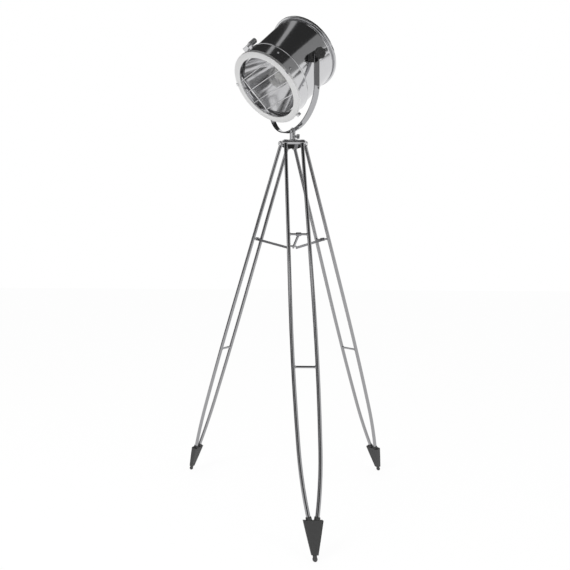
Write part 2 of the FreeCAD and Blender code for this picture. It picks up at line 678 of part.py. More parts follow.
def bulb_outline(inset):
    """Side outline of the bulb's glass, a pear that runs into the cap."""
    outline = []
    for step in range(13):
        angle = math.radians(12 * step)
        outline.append((BULB_CENTRE + (BULB_RADIUS - inset) * math.cos(angle),
                        (BULB_RADIUS - inset) * math.sin(angle)))
    outline.append((BULB_CAP_FRONT + 12.0, BULB_NECK_RADIUS + 4.0 - inset))
    outline.append((BULB_CAP_FRONT, BULB_NECK_RADIUS - inset))
    return outline


def bulb_glass():
    """Thin glass envelope, open at the neck."""
    return beam_turned(bulb_outline(0.0) + list(reversed(bulb_outline(BULB_SHEET))))


def bulb_cap():
    """Screw cap with its thread drawn as rings, and the contact at the end."""
    outline = [(BULB_CAP_FRONT, 0.0), (BULB_CAP_FRONT, BULB_CAP_RADIUS - 0.8)]
    pitch = 3.6
    at = BULB_CAP_FRONT - 3.0
    while at > BULB_CAP_BACK + 10.0:
        outline += [(at, BULB_CAP_RADIUS - 0.8), (at - pitch / 3, BULB_CAP_RADIUS),
                    (at - 2 * pitch / 3, BULB_CAP_RADIUS - 0.8)]
        at -= pitch
    outline += [(BULB_CAP_BACK + 8.0, BULB_CAP_RADIUS - 0.8), (BULB_CAP_BACK + 2.5, 6.0), (BULB_CAP_BACK, 4.5),
                (BULB_CAP_BACK, 0.0)]
    return beam_turned(outline)


def filament_stem():
    """Glass stem with two supports and the filament loop, on the bulb's centre line."""
    stem = rod(on_beam(BULB_CAP_FRONT), on_beam(BULB_CENTRE - 22.0), 3.0)
    posts = [rod(on_beam(BULB_CENTRE - 23.0, 1.8, angle), on_beam(BULB_CENTRE + 2.0, 11.0, angle), 0.5)
             for angle in (0, 180)]
    coil = rod(on_beam(BULB_CENTRE + 2.0, 11.6, 0), on_beam(BULB_CENTRE + 2.0, 11.6, 180), 0.9)
    return stem.fuse(posts + [coil])


def lamp_holder():
    """Moulded holder with a socket for the cap."""
    bore = BULB_CAP_RADIUS + SIDE_GAP
    outline = [(HOLDER_BACK, 0.0), (HOLDER_BACK, HOLDER_RADIUS - 4.0), (HOLDER_BACK + 6.0, HOLDER_RADIUS),
               (HOLDER_FRONT, HOLDER_RADIUS), (HOLDER_FRONT, bore), (BULB_CAP_BACK - SIDE_GAP, bore),
               (BULB_CAP_BACK - SIDE_GAP, 0.0)]
    return beam_turned(outline)


def holder_bracket():
    """Strip across the shell that carries the holder, with feet bent along the shell's wall."""
    reach = math.sqrt((SHELL_RADIUS - SHEET - SOCKET_CLEARANCE) ** 2 - (BRACKET_WIDTH / 2) ** 2)
    back = HOLDER_BACK - BRACKET_THICKNESS
    strip = Part.makeBox(BRACKET_THICKNESS, BRACKET_WIDTH, 2 * reach,
                         Vector(back, -BRACKET_WIDTH / 2, AXIS_RISE - reach))
    feet = []
    for side in (-1, 1):
        edge = AXIS_RISE + side * reach
        low = edge - BRACKET_THICKNESS if side > 0 else edge
        feet.append(Part.makeBox(16.0, BRACKET_WIDTH, BRACKET_THICKNESS, Vector(back, -BRACKET_WIDTH / 2, low)))
    hole = rod(on_beam(back - 1), on_beam(HOLDER_BACK + 1), GLAND_BORE)
    return strip.fuse(feet).cut(hole)


def back_cover():
    """Domed rear cover with a rolled rim, radial vent slots and a hole for the cord gland."""
    rim_front = COVER_BACK + COVER_LIP
    inner = SHELL_RADIUS + SOCKET_CLEARANCE
    outline = [(rim_front, inner), (rim_front, COVER_RADIUS - 2.0), (rim_front - 1.5, COVER_RADIUS),
               (COVER_BACK + 1.5, COVER_RADIUS), (COVER_BACK, COVER_RADIUS - 2.0)]
    steps = 6
    dome_edge = COVER_RADIUS - 8.0
    for index in range(steps + 1):
        share = 1 - index / steps
        outline.append((COVER_BACK - COVER_DOME * (1 - share ** 2), dome_edge * share))
    for index in range(steps, -1, -1):
        share = 1 - index / steps
        outline.append((COVER_BACK + SHEET - COVER_DOME * (1 - share ** 2), (dome_edge - SHEET) * share))
    outline += [(COVER_BACK + SHEET, inner - 0.5), (COVER_BACK + 2.2, inner)]
    cover = beam_turned(outline)
    slot = Part.makeBox(4 * COVER_DOME, VENT_WIDTH, VENT_LENGTH,
                        Vector(COVER_BACK - 2 * COVER_DOME, -VENT_WIDTH / 2, AXIS_RISE + VENT_CIRCLE - VENT_LENGTH / 2))
    for cutter in round_about(slot, VENT_COUNT, X, on_beam(0)):
        cover = cover.cut(cutter)
    return cover.cut(rod(on_beam(COVER_BACK - 2 * COVER_DOME), on_beam(0), GLAND_RADIUS - 2.0 + RUNNING))


def cord_gland():
    """Hollow gland through the middle of the rear cover, where the mains cord enters."""
    face = COVER_BACK - COVER_DOME
    gland = [(face - GLAND_LENGTH, GLAND_BORE), (face - GLAND_LENGTH, GLAND_BORE + 1.6), (face - 5.0, GLAND_RADIUS),
             (face - SIDE_GAP, GLAND_RADIUS), (face - SIDE_GAP, GLAND_RADIUS - 2.0), (face + 6.0, GLAND_RADIUS - 2.0),
             (face + 6.0, GLAND_BORE)]
    return beam_turned(gland)


def dome_screw(base, outwards, radius, height, shank_radius, shank_length):
    """A round-headed screw standing on a surface, with its shank behind."""
    outwards = Vector(outwards).normalize()
    head = turned([(-shank_length, 0), (-shank_length, shank_radius), (0, shank_radius), (0, radius),
                   (height * 0.4, radius), (height, radius * 0.55), (height, 0)])
    head.Placement = Placement(base, Rotation(X, outwards))
    return head


def tilt_stud(side):
    """Stud with a round plate inside the shell; it carries the head in the yoke's arm."""
    plate_at = math.sqrt((SHELL_RADIUS - SHEET) ** 2 - (AXIS_RISE + STUD_PLATE_RADIUS) ** 2) - SOCKET_CLEARANCE
    end = YOKE_OUTER + KNOB_HUB_LENGTH + KNOB_FACE_LENGTH - 4.0
    plate = rod(Y * (side * (plate_at - STUD_PLATE_THICKNESS)), Y * (side * plate_at), STUD_PLATE_RADIUS)
    return plate.fuse(rod(Y * (side * (plate_at - 1)), Y * (side * end), STUD_RADIUS)).removeSplitter()


def friction_spacer(side):
    """Black disc between shell and yoke, hollowed to sit on the shell's curve."""
    start = Y * (side * (SHELL_RADIUS - 12.0))
    end = Y * (side * (YOKE_INNER - SIDE_GAP))
    disc = rod(start, end, SPACER_RADIUS)
    shell = rod(on_beam(-200), on_beam(200), SHELL_RADIUS + SOCKET_CLEARANCE)
    return disc.cut(shell).cut(rod(start, end, STUD_RADIUS + RUNNING))


def tilt_knob(side):
    """Fluted black knob on a narrower hub, bored for the stud."""
    start = YOKE_OUTER + SIDE_GAP
    face_from = start + KNOB_HUB_LENGTH
    face_to = face_from + KNOB_FACE_LENGTH
    hub = rod(Y * (side * start), Y * (side * (face_from + 1)), KNOB_HUB_RADIUS)
    grip = knurled(Y * (side * face_from), Y * (side * face_to), KNOB_RADIUS, KNOB_FLUTES, KNOB_FLUTE_RADIUS)
    bore = rod(Y * (side * (start - 1)), Y * (side * (face_to - 3.5)), STUD_RADIUS + RUNNING)
    return hub.fuse(grip).cut(bore).removeSplitter()


def catch_bracket():
    """Folded bracket on top of the collar: two walls and a roof, with the catch screw through its back wall."""
    top = AXIS_RISE + COLLAR_RADIUS
    box = Part.makeBox(CATCH_FRONT - CATCH_BACK, CATCH_WIDTH, CATCH_HEIGHT + 4.0,
                       Vector(CATCH_BACK, -CATCH_WIDTH / 2, top - 4.0))
    room = Part.makeBox(CATCH_FRONT - CATCH_BACK - 2 * CATCH_SHEET, CATCH_WIDTH + 2, CATCH_HEIGHT + 3.0 - CATCH_SHEET,
                        Vector(CATCH_BACK + CATCH_SHEET, -CATCH_WIDTH / 2 - 1, top - 3.0))
    drum = rod(on_beam(-200), on_beam(200), COLLAR_RADIUS + SOCKET_CLEARANCE)
    height = top + CATCH_KNOB_LIFT
    hole = rod(Vector(CATCH_BACK - 1, 0, height), Vector(CATCH_BACK + CATCH_SHEET + 1, 0, height),
               THUMB_STEM_RADIUS + RUNNING)
    return box.cut(room).cut(drum).cut(hole)


def catch_knob():
    """Knurled knob behind the catch bracket, with its screw through the bracket's back wall."""
    height = AXIS_RISE + COLLAR_RADIUS + CATCH_KNOB_LIFT
    face = CATCH_BACK - SIDE_GAP
    head = knurled(Vector(face - CATCH_KNOB_LENGTH, 0, height), Vector(face, 0, height), CATCH_KNOB_RADIUS, 20, 1.2)
    stem = rod(Vector(face - 1, 0, height), Vector(CATCH_FRONT - 2 * CATCH_SHEET, 0, height), THUMB_STEM_RADIUS)
    return head.fuse(stem).removeSplitter()


def thumb_screw():
    """Small thumb screw low on the collar."""
    start = COLLAR_RADIUS - SHEET - 2.0
    neck = COLLAR_RADIUS + THUMB_STEM_LENGTH
    stem = radial(THUMB_AT, start, neck + 1, THUMB_ANGLE, THUMB_STEM_RADIUS)
    head = knurled(on_beam(THUMB_AT, neck, THUMB_ANGLE), on_beam(THUMB_AT, neck + THUMB_HEAD_LENGTH, THUMB_ANGLE),
                   THUMB_HEAD_RADIUS, 14, 1.2)
    return stem.fuse(head).removeSplitter()


def bezel_clip(angle):
    """Spring clip screwed to the collar that hooks over the bezel's rim."""
    half = CLIP_WIDTH / 2
    low = AXIS_RISE + COLLAR_RADIUS
    over = AXIS_RISE + BEZEL_RADIUS + SOCKET_CLEARANCE
    front = BEZEL_FRONT + SOCKET_CLEARANCE
    foot = Part.makeBox(CLIP_FOOT_FRONT - CLIP_FOOT_BACK, CLIP_WIDTH, over + CLIP_SHEET - low + 1.0,
                        Vector(CLIP_FOOT_BACK, -half, low - 1.0))
    plate = Part.makeBox(front + CLIP_SHEET - CLIP_FOOT_BACK, CLIP_WIDTH, CLIP_SHEET, Vector(CLIP_FOOT_BACK, -half, over))
    hook = Part.makeBox(CLIP_SHEET, CLIP_WIDTH, CLIP_HOOK_DEPTH + CLIP_SHEET,
                        Vector(front, -half, over - CLIP_HOOK_DEPTH))
    drum = rod(on_beam(-200), on_beam(200), COLLAR_RADIUS + SOCKET_CLEARANCE)
    rim = rod(on_beam(BEZEL_FRONT - BEZEL_LIP - 1), on_beam(front), BEZEL_RADIUS + SOCKET_CLEARANCE)
    clip = foot.cut(drum).fuse([plate.cut(rim), hook]).removeSplitter()
    clip.rotate(on_beam(0), X, angle - 90)
    return clip


def screw_holes(shape, screws):
    """Clears a shape where screws pass through it."""
    for screw in screws:
        shape = shape.cut(screw)
    return shape


def build_head():
    """Every piece of the head, made in its own frame and then tilted and panned."""
    collar_angles = [COLLAR_SCREW_FIRST + 360.0 / COLLAR_SCREWS * index for index in range(COLLAR_SCREWS)]
    collar_screws = [dome_screw(on_beam(COLLAR_SCREW_AT, COLLAR_RADIUS, angle),
                                on_beam(0, 1, angle) - on_beam(0), COLLAR_SCREW_RADIUS, 2.0, 1.6, SHEET)
                     for angle in collar_angles]
    cover_screws = [dome_screw(on_beam(COVER_BACK - 2.6, COVER_SCREW_CIRCLE, 45 + 90 * index), X * -1,
                               3.2, 1.8, 1.5, 4.0) for index in range(COVER_SCREWS)]
    pieces = {
        "head_shell": head_shell(),
        "front_collar": screw_holes(front_collar(), collar_screws).cut(
            radial(THUMB_AT, 0, COLLAR_RADIUS + 1, THUMB_ANGLE, THUMB_STEM_RADIUS + RUNNING)),
        "front_bezel": bezel(),
        "grille_ring": Part.makeTorus(GRILLE_RING_RADIUS, WIRE_RADIUS, on_beam(GRILLE_AT), X),
        "reflector": reflector(),
        "bulb_glass": bulb_glass(),
        "bulb_cap": bulb_cap(),
        "bulb_filament": filament_stem(),
        "lamp_holder": lamp_holder(),
        "holder_bracket": holder_bracket(),
        "back_cover": screw_holes(back_cover(), cover_screws),
        "cord_gland": cord_gland(),
        "catch_bracket": catch_bracket(),
        "catch_knob": catch_knob(),
        "front_thumb_screw": thumb_screw(),
    }
    for name, shape in pieces.items():
        save(name, head_place(shape))
    save("grille_wires", *[head_place(wire) for wire in grille_wires()])
    save("collar_screws", *[head_place(screw) for screw in collar_screws])
    save("bezel_clips", *[head_place(bezel_clip(angle)) for angle in CLIP_ANGLES])
    save("cover_screws", *[head_place(screw) for screw in cover_screws])
    for name, side in (("right", 1), ("left", -1)):
        save(name + "_tilt_stud", head_place(tilt_stud(side)))
        save(name + "_tilt_spacer", head_place(friction_spacer(side)))
        save(name + "_tilt_knob", head_place(tilt_knob(side)))


def main():
    os.makedirs("parts", exist_ok=True)
    build_legs()
    build_hub()
    build_spider()
    build_yoke()
    build_head()


main()
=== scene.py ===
"""Looks of a tripod spotlight floor lamp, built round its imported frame. Metres, +Z up, floor at z = 0."""

import json
import math

import bmesh
import bpy
from bpy.props import FloatProperty, FloatVectorProperty, IntProperty, PointerProperty
from mathutils import Matrix, Vector


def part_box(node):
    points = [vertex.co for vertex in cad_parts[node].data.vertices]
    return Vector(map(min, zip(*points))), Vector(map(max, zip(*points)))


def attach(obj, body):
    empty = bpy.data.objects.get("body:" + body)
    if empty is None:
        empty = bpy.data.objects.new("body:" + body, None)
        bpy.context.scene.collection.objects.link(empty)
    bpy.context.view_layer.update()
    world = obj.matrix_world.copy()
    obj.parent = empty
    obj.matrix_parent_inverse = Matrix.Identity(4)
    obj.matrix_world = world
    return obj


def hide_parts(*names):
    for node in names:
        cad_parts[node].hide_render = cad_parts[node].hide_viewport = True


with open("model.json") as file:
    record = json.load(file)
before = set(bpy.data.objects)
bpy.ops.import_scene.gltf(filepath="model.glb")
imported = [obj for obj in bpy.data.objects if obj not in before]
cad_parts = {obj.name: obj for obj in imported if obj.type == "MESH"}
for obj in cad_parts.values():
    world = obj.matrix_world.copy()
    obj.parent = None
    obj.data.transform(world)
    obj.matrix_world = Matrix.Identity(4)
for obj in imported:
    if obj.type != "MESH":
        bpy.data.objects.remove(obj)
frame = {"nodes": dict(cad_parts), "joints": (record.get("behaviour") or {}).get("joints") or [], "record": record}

bl_info = {
    "name": "Tripod spotlight lamp",
    "version": (1, 0, 0),
    "blender": (4, 5, 0),
    "location": "View3D > Sidebar > Lamp",
    "description": "Detailed pieces, finishes and stage for a tripod spotlight floor lamp",
    "category": "Object",
}

MM = 0.001
TINY = 1e-7
NODES = frame["nodes"]
RECORD = frame["record"]
JOINTS = {joint["name"]: joint for joint in frame["joints"]}
MOUNTS = {mount["name"]: mount for mount in RECORD["mounts"]}
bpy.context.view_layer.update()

# ---------------------------------------------------------------- own frames of the head, yoke and legs
PIVOT_AT = Vector(JOINTS["head_tilt"]["pos_m"])
PIVOT_LINE = Vector(JOINTS["head_tilt"]["axis"]).normalized()
BEAM = -Vector(MOUNTS["cord_entry"]["axis"]).normalized()
UP = Vector((0, 0, 1))
FOLD_AT = Vector(JOINTS["front_leg_fold"]["pos_m"])
LEGS = ("front", "right", "left")


def own_frame(x_axis, y_axis, z_axis, origin):
    """Matrix that takes a piece's own axes to the lamp's."""
    columns = Matrix((x_axis, y_axis, z_axis)).transposed().to_4x4()
    return Matrix.Translation(origin) @ columns


HEAD = own_frame(BEAM, PIVOT_LINE, BEAM.cross(PIVOT_LINE), PIVOT_AT)
CENTRE_LINE = (HEAD.inverted() @ Vector(MOUNTS["cord_entry"]["pos_m"])).z
DRUM = HEAD @ Matrix.Translation((0, 0, CENTRE_LINE))
YOKE = own_frame(PIVOT_LINE.cross(UP), PIVOT_LINE, UP, Vector(JOINTS["head_pan"]["pos_m"]))


def leg_frame(index):
    """A leg hanging from its pin, leant out and turned to its place."""
    foot = Vector(MOUNTS["front_foot_rest"]["pos_m"])
    lean = math.atan2(407 * MM - abs(FOLD_AT.y), FOLD_AT.z - foot.z)
    hang = Matrix.Translation(FOLD_AT) @ Matrix.Rotation(-lean, 4, "X")
    return Matrix.Rotation(index * math.tau / 3, 4, "Z") @ hang


def facing(base, direction, roll=0.0):
    """Frame at a point whose X axis runs along a direction."""
    x_axis = Vector(direction).normalized()
    side = UP if abs(x_axis.z) < 0.9 else Vector((0, 1, 0))
    y_axis = side.cross(x_axis).normalized()
    placed = own_frame(x_axis, y_axis, x_axis.cross(y_axis), Vector(base))
    return placed @ Matrix.Rotation(roll, 4, "X")


def round_drum(along, radius, degrees):
    """Point on the drum in the lamp's frame; 0 degrees faces the right pivot, 90 the top."""
    turn = math.radians(degrees)
    return DRUM @ Vector((along, radius * math.cos(turn), radius * math.sin(turn)))


# ---------------------------------------------------------------- sizes and colours
class LampSizes(bpy.types.PropertyGroup):
    """Sizes of the detailed pieces."""
    shell_radius: FloatProperty(name="Drum radius", description="Outside of the rear drum",
                                default=126.0 * MM, unit="LENGTH")
    sheet: FloatProperty(name="Sheet", description="Thickness of the head's sheet metal",
                         default=1.2 * MM, unit="LENGTH")
    collar_radius: FloatProperty(name="Collar radius", description="Outside of the front collar",
                                 default=130.5 * MM, unit="LENGTH")
    bead_height: FloatProperty(name="Bead", description="How far the rolled beads stand up",
                               default=1.3 * MM, unit="LENGTH")
    bezel_radius: FloatProperty(name="Front ring radius", description="Outside of the front ring",
                                default=136.0 * MM, unit="LENGTH")
    bezel_bore: FloatProperty(name="Front ring opening", description="Radius of the front ring's opening",
                              default=113.5 * MM, unit="LENGTH")
    wire_radius: FloatProperty(name="Wire radius", description="Radius of the grille wires",
                               default=2.0 * MM, unit="LENGTH")
    knob_radius: FloatProperty(name="Knob radius", description="Outside of the tilt knobs",
                               default=18.5 * MM, unit="LENGTH")
    knob_lobes: IntProperty(name="Knob lobes", description="Grip lobes round a tilt knob", default=8, min=3)
    rod_radius: FloatProperty(name="Rod radius", description="Radius of the leg rods",
                              default=6.0 * MM, unit="LENGTH")
    rung_radius: FloatProperty(name="Rung radius", description="Radius of the rungs",
                               default=3.5 * MM, unit="LENGTH")
    edge: FloatProperty(name="Edge rounding", description="Rounding of bent strip and cast edges",
                        default=0.7 * MM, unit="LENGTH")


class LampColours(bpy.types.PropertyGroup):
    """Colours of the finishes."""
    rods: FloatVectorProperty(name="Rods", description="Dark chrome of the leg rods", subtype="COLOR",
                              default=(0.26, 0.26, 0.27))
    head: FloatVectorProperty(name="Drum", description="Chrome of the drum and collar", subtype="COLOR",
                              default=(0.62, 0.62, 0.63))
    yoke: FloatVectorProperty(name="Yoke", description="Chrome of the yoke", subtype="COLOR",
                              default=(0.44, 0.44, 0.45))
    ring: FloatVectorProperty(name="Front ring", description="Satin front ring", subtype="COLOR",
                              default=(0.58, 0.58, 0.58))
    knobs: FloatVectorProperty(name="Knobs", description="Black moulded knobs and spacers", subtype="COLOR",
                               default=(0.022, 0.022, 0.023))
    shoes: FloatVectorProperty(name="Shoes", description="Dark cast shoes", subtype="COLOR",
                               default=(0.085, 0.085, 0.09))


# ---------------------------------------------------------------- mesh helpers
def rounded(outline, radius, steps=4, closed=True):
    """The outline with each corner turned into a small curve."""
    points = [Vector(point) for point in outline]
    count = len(points)
    result = []
    for index, corner in enumerate(points):
        if not closed and index in (0, count - 1) or corner.y < TINY:
            result.append(corner)
            continue
        back, ahead = points[index - 1] - corner, points[(index + 1) % count] - corner
        reach = min(radius, 0.45 * back.length, 0.45 * ahead.length)
        start, end = corner + back.normalized() * reach, corner + ahead.normalized() * reach
        for step in range(steps + 1):
            share = step / steps
            result.append(start * (1 - share) ** 2 + corner * (2 * share * (1 - share)) + end * share ** 2)
    return result


def lathe(outline, place, segments=128, closed=True, shape=None):
    """Mesh turned about the place's X axis; shape(radius, angle) may change the radius."""
    mesh = bmesh.new()
    rings = []
    for along, radius in outline:
        if radius < TINY:
            rings.append([mesh.verts.new(place @ Vector((along, 0, 0)))])
            continue
        ring = []
        for step in range(segments):
            angle = math.tau * step / segments
            reach = shape(along, radius, angle) if shape else radius
            ring.append(mesh.verts.new(place @ Vector((along, reach * math.cos(angle), reach * math.sin(angle)))))
        rings.append(ring)
    pairs = list(zip(rings, rings[1:]))
    if closed:
        pairs.append((rings[-1], rings[0]))
    for first, second in pairs:
        if len(first) == 1 and len(second) == 1:
            continue
        for step in range(segments):
            after = (step + 1) % segments
            corners = [first[step % len(first)], second[step % len(second)],
                       second[after % len(second)], first[after % len(first)]]
            face = [corner for index, corner in enumerate(corners) if corner not in corners[:index]]
            mesh.faces.new(face)
    return mesh


def tube(points, radius, sides=16, closed=False):
    """Round bar along points, with domed ends when it is open."""
    mesh = bmesh.new()
    points = [Vector(point) for point in points]
    count = len(points)
    rings = []
    normal = None
    for index, point in enumerate(points):
        if closed:
            heading = (points[(index + 1) % count] - points[index - 1]).normalized()
        else:
            heading = (points[min(index + 1, count - 1)] - points[max(index - 1, 0)]).normalized()
        if normal is None:
            normal = heading.orthogonal().normalized()
        normal = (normal - heading * normal.dot(heading)).normalized()
        across = heading.cross(normal)
        rings.append([mesh.verts.new(point + (normal * math.cos(math.tau * side / sides)
                                              + across * math.sin(math.tau * side / sides)) * radius)
                      for side in range(sides)])
    pairs = list(zip(rings, rings[1:]))
    if closed:
        pairs.append((rings[-1], rings[0]))
    for first, second in pairs:
        for side in range(sides):
            after = (side + 1) % sides
            mesh.faces.new((first[side], first[after], second[after], second[side]))
    if not closed:
        for ring, point, inner in ((rings[0], points[0], points[1]), (rings[-1], points[-1], points[-2])):
            tip = mesh.verts.new(point + (point - inner).normalized() * radius * 0.5)
            for side in range(sides):
                mesh.faces.new((ring[side], ring[(side + 1) % sides], tip))
    return mesh


def joined(meshes):
    """One mesh from several."""
    whole = bmesh.new()
    for mesh in meshes:
        part = bpy.data.meshes.new("part")
        mesh.to_mesh(part)
        mesh.free()
        whole.from_mesh(part)
        bpy.data.meshes.remove(part)
    return whole


def bevelled(mesh, width, segments=3):
    """The mesh with all its sharp edges rounded."""
    edges = [edge for edge in mesh.edges if edge.is_manifold and edge.calc_face_angle(0) > math.radians(25)]
    bmesh.ops.bevel(mesh, geom=edges, offset=width, segments=segments, affect="EDGES", profile=0.6)
    return mesh


def block(corners_low, corners_high):
    """Six-sided mesh from four low and four high corners, both in turn."""
    mesh = bmesh.new()
    low = [mesh.verts.new(corner) for corner in corners_low]
    high = [mesh.verts.new(corner) for corner in corners_high]
    mesh.faces.new(low[::-1])
    mesh.faces.new(high)
    for index in range(4):
        after = (index + 1) % 4
        mesh.faces.new((low[index], low[after], high[after], high[index]))
    return mesh


def box(low, high, place):
    """Block between two corners in a place's own frame."""
    (x0, y0, z0), (x1, y1, z1) = low, high
    level = [(x0, y0), (x1, y0), (x1, y1), (x0, y1)]
    return block([place @ Vector((x, y, z0)) for x, y in level], [place @ Vector((x, y, z1)) for x, y in level])


def piece(name, mesh, slot, body, stands_for=(), sharp=35.0):
    """Turns a mesh into a finished piece that moves with its body."""
    bmesh.ops.recalc_face_normals(mesh, faces=mesh.faces)
    data = bpy.data.meshes.new(name)
    mesh.to_mesh(data)
    mesh.free()
    data.shade_smooth()
    data.set_sharp_from_angle(angle=math.radians(sharp))
    made = bpy.data.objects.new(name, data)
    bpy.context.scene.collection.objects.link(made)
    data.materials.append(bpy.data.materials[slot])
    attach(made, body)
    if stands_for:
        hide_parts(*stands_for)
    return made


def dome(radius, height, socket=0.45, foot=0.0):
    """Outline of a round head with a six-sided socket; the socket's points come last."""
    outline = [(-foot, 0.0), (-foot, radius), (height * 0.25, radius)]
    for step in range(1, 5):
        turn = math.radians(90 * step / 5)
        outline.append((height * (0.25 + 0.75 * math.sin(turn)), radius * (socket + (1 - socket) * math.cos(turn))))
    outline += [(height, radius * socket), (height * 0.35, radius * socket * 0.96), (height * 0.35, 0.0)]
    return outline


def six_sided(socket_radius):
    """Shape for lathe() that makes everything inside a radius six-sided."""
    def shape(along, radius, angle):
        if radius > socket_radius * 1.02:
            return radius
        third = math.tau / 6
        offset = (angle + third / 2) % third - third / 2
        return radius * math.cos(third / 2) / math.cos(offset)
    return shape


def round_head(base, direction, radius, height):
    """A round-headed screw with a six-sided socket."""
    return lathe(dome(radius, height), facing(base, direction), 48, shape=six_sided(radius * 0.45))


# ---------------------------------------------------------------- finishes
def node(tree, kind, **settings):
    """Adds a shader node and sets its fields and sockets."""
    made = tree.nodes.new(kind)
    for key, value in settings.items():
        if hasattr(made, key):
            setattr(made, key, value)
        else:
            made.inputs[key.replace("_", " ")].default_value = value
    return made


def group(name, inputs, outputs):
    """Empty shader node group with named sockets."""
    tree = bpy.data.node_groups.new(name, "ShaderNodeTree")
    for label, kind, default in inputs:
        tree.interface.new_socket(label, in_out="INPUT", socket_type=kind).default_value = default
    for label, kind in outputs:
        tree.interface.new_socket(label, in_out="OUTPUT", socket_type=kind)
    return tree, tree.nodes.new("NodeGroupInput"), tree.nodes.new("NodeGroupOutput")


def blend_colour(tree, factor, first, second):
    """Mix of two colours by a mask."""
    mix = tree.nodes.new("ShaderNodeMix")
    mix.data_type = "RGBA"
    tree.links.new(factor, mix.inputs["Factor"])
    tree.links.new(first, mix.inputs["A"])
    tree.links.new(second, mix.inputs["B"])
    return mix.outputs["Result"]


def spread(tree, value, low, high):
    """A value between 0 and 1 stretched between two limits."""
    ranged = tree.nodes.new("ShaderNodeMapRange")
    tree.links.new(value, ranged.inputs["Value"])
    tree.links.new(low, ranged.inputs["To Min"])
    tree.links.new(high, ranged.inputs["To Max"])
    return ranged.outputs["Result"]


def handled_surface():
    """Group: cloudy smudges, fine hairlines and faint pitting over a surface."""
    tree, given, out = group("handled_surface", [
        ("Clean Colour", "NodeSocketColor", (0.5, 0.5, 0.5, 1)), ("Dull Colour", "NodeSocketColor", (0.4, 0.4, 0.4, 1)),
        ("Smooth", "NodeSocketFloat", 0.1), ("Rough", "NodeSocketFloat", 0.3),
        ("Cloud Scale", "NodeSocketFloat", 12.0), ("Grain Scale", "NodeSocketFloat", 400.0)],
        [("Colour", "NodeSocketColor"), ("Roughness", "NodeSocketFloat"), ("Height", "NodeSocketFloat")])
    where = tree.nodes.new("ShaderNodeTexCoord").outputs["Object"]
    cloud = node(tree, "ShaderNodeTexNoise", Detail=6.0, Roughness=0.62)
    grain = node(tree, "ShaderNodeTexNoise", Detail=3.0, Roughness=0.7)
    line = node(tree, "ShaderNodeTexNoise", Detail=2.0, Roughness=0.5)
    stretch = node(tree, "ShaderNodeMapping")
    stretch.inputs["Scale"].default_value = (9.0, 9.0, 0.35)
    tree.links.new(where, cloud.inputs["Vector"])
    tree.links.new(where, grain.inputs["Vector"])
    tree.links.new(where, stretch.inputs["Vector"])
    tree.links.new(stretch.outputs["Vector"], line.inputs["Vector"])
    tree.links.new(given.outputs["Cloud Scale"], cloud.inputs["Scale"])
    tree.links.new(given.outputs["Grain Scale"], grain.inputs["Scale"])
    line.inputs["Scale"].default_value = 60.0
    soft = node(tree, "ShaderNodeMapRange", From_Min=0.42, From_Max=0.72)
    tree.links.new(cloud.outputs["Fac"], soft.inputs["Value"])
    hair = node(tree, "ShaderNodeMapRange", From_Min=0.60, From_Max=0.74)
    tree.links.new(line.outputs["Fac"], hair.inputs["Value"])
    both = node(tree, "ShaderNodeMath", operation="MAXIMUM")
    half = node(tree, "ShaderNodeMath", operation="MULTIPLY")
    half.inputs[1].default_value = 0.5
    tree.links.new(hair.outputs["Result"], half.inputs[0])
    tree.links.new(soft.outputs["Result"], both.inputs[0])
    tree.links.new(half.outputs["Value"], both.inputs[1])
    tree.links.new(blend_colour(tree, both.outputs["Value"], given.outputs["Clean Colour"],
                                given.outputs["Dull Colour"]), out.inputs["Colour"])
    tree.links.new(spread(tree, both.outputs["Value"], given.outputs["Smooth"], given.outputs["Rough"]),
                   out.inputs["Roughness"])
    tree.links.new(grain.outputs["Fac"], out.inputs["Height"])
    return tree


def dull(colour, share):
    """A darker shade for smudged places."""
    return tuple(channel * share for channel in colour[:3]) + (1,)


def surface(name, colour, metallic, smooth, rough, cloud=12.0, grain=400.0, bump=0.05, shade=0.85, **shader):
    """Material whose colour, gloss and grain come from the handled_surface group."""
    material = bpy.data.materials.new(name)
    material.use_nodes = True
    tree = material.node_tree
    principled = tree.nodes["Principled BSDF"]
    worn = tree.nodes.new("ShaderNodeGroup")
    worn.node_tree = bpy.data.node_groups["handled_surface"]
    worn.inputs["Clean Colour"].default_value = tuple(colour[:3]) + (1,)
    worn.inputs["Dull Colour"].default_value = dull(colour, shade)
    worn.inputs["Smooth"].default_value = smooth
    worn.inputs["Rough"].default_value = rough
    worn.inputs["Cloud Scale"].default_value = cloud
    worn.inputs["Grain Scale"].default_value = grain
    relief = node(tree, "ShaderNodeBump", Strength=bump, Distance=0.0004)
    tree.links.new(worn.outputs["Colour"], principled.inputs["Base Color"])
    tree.links.new(worn.outputs["Roughness"], principled.inputs["Roughness"])
    tree.links.new(worn.outputs["Height"], relief.inputs["Height"])
    tree.links.new(relief.outputs["Normal"], principled.inputs["Normal"])
    principled.inputs["Metallic"].default_value = metallic
    for key, value in shader.items():
        principled.inputs[key.replace("_", " ")].default_value = value
    return material


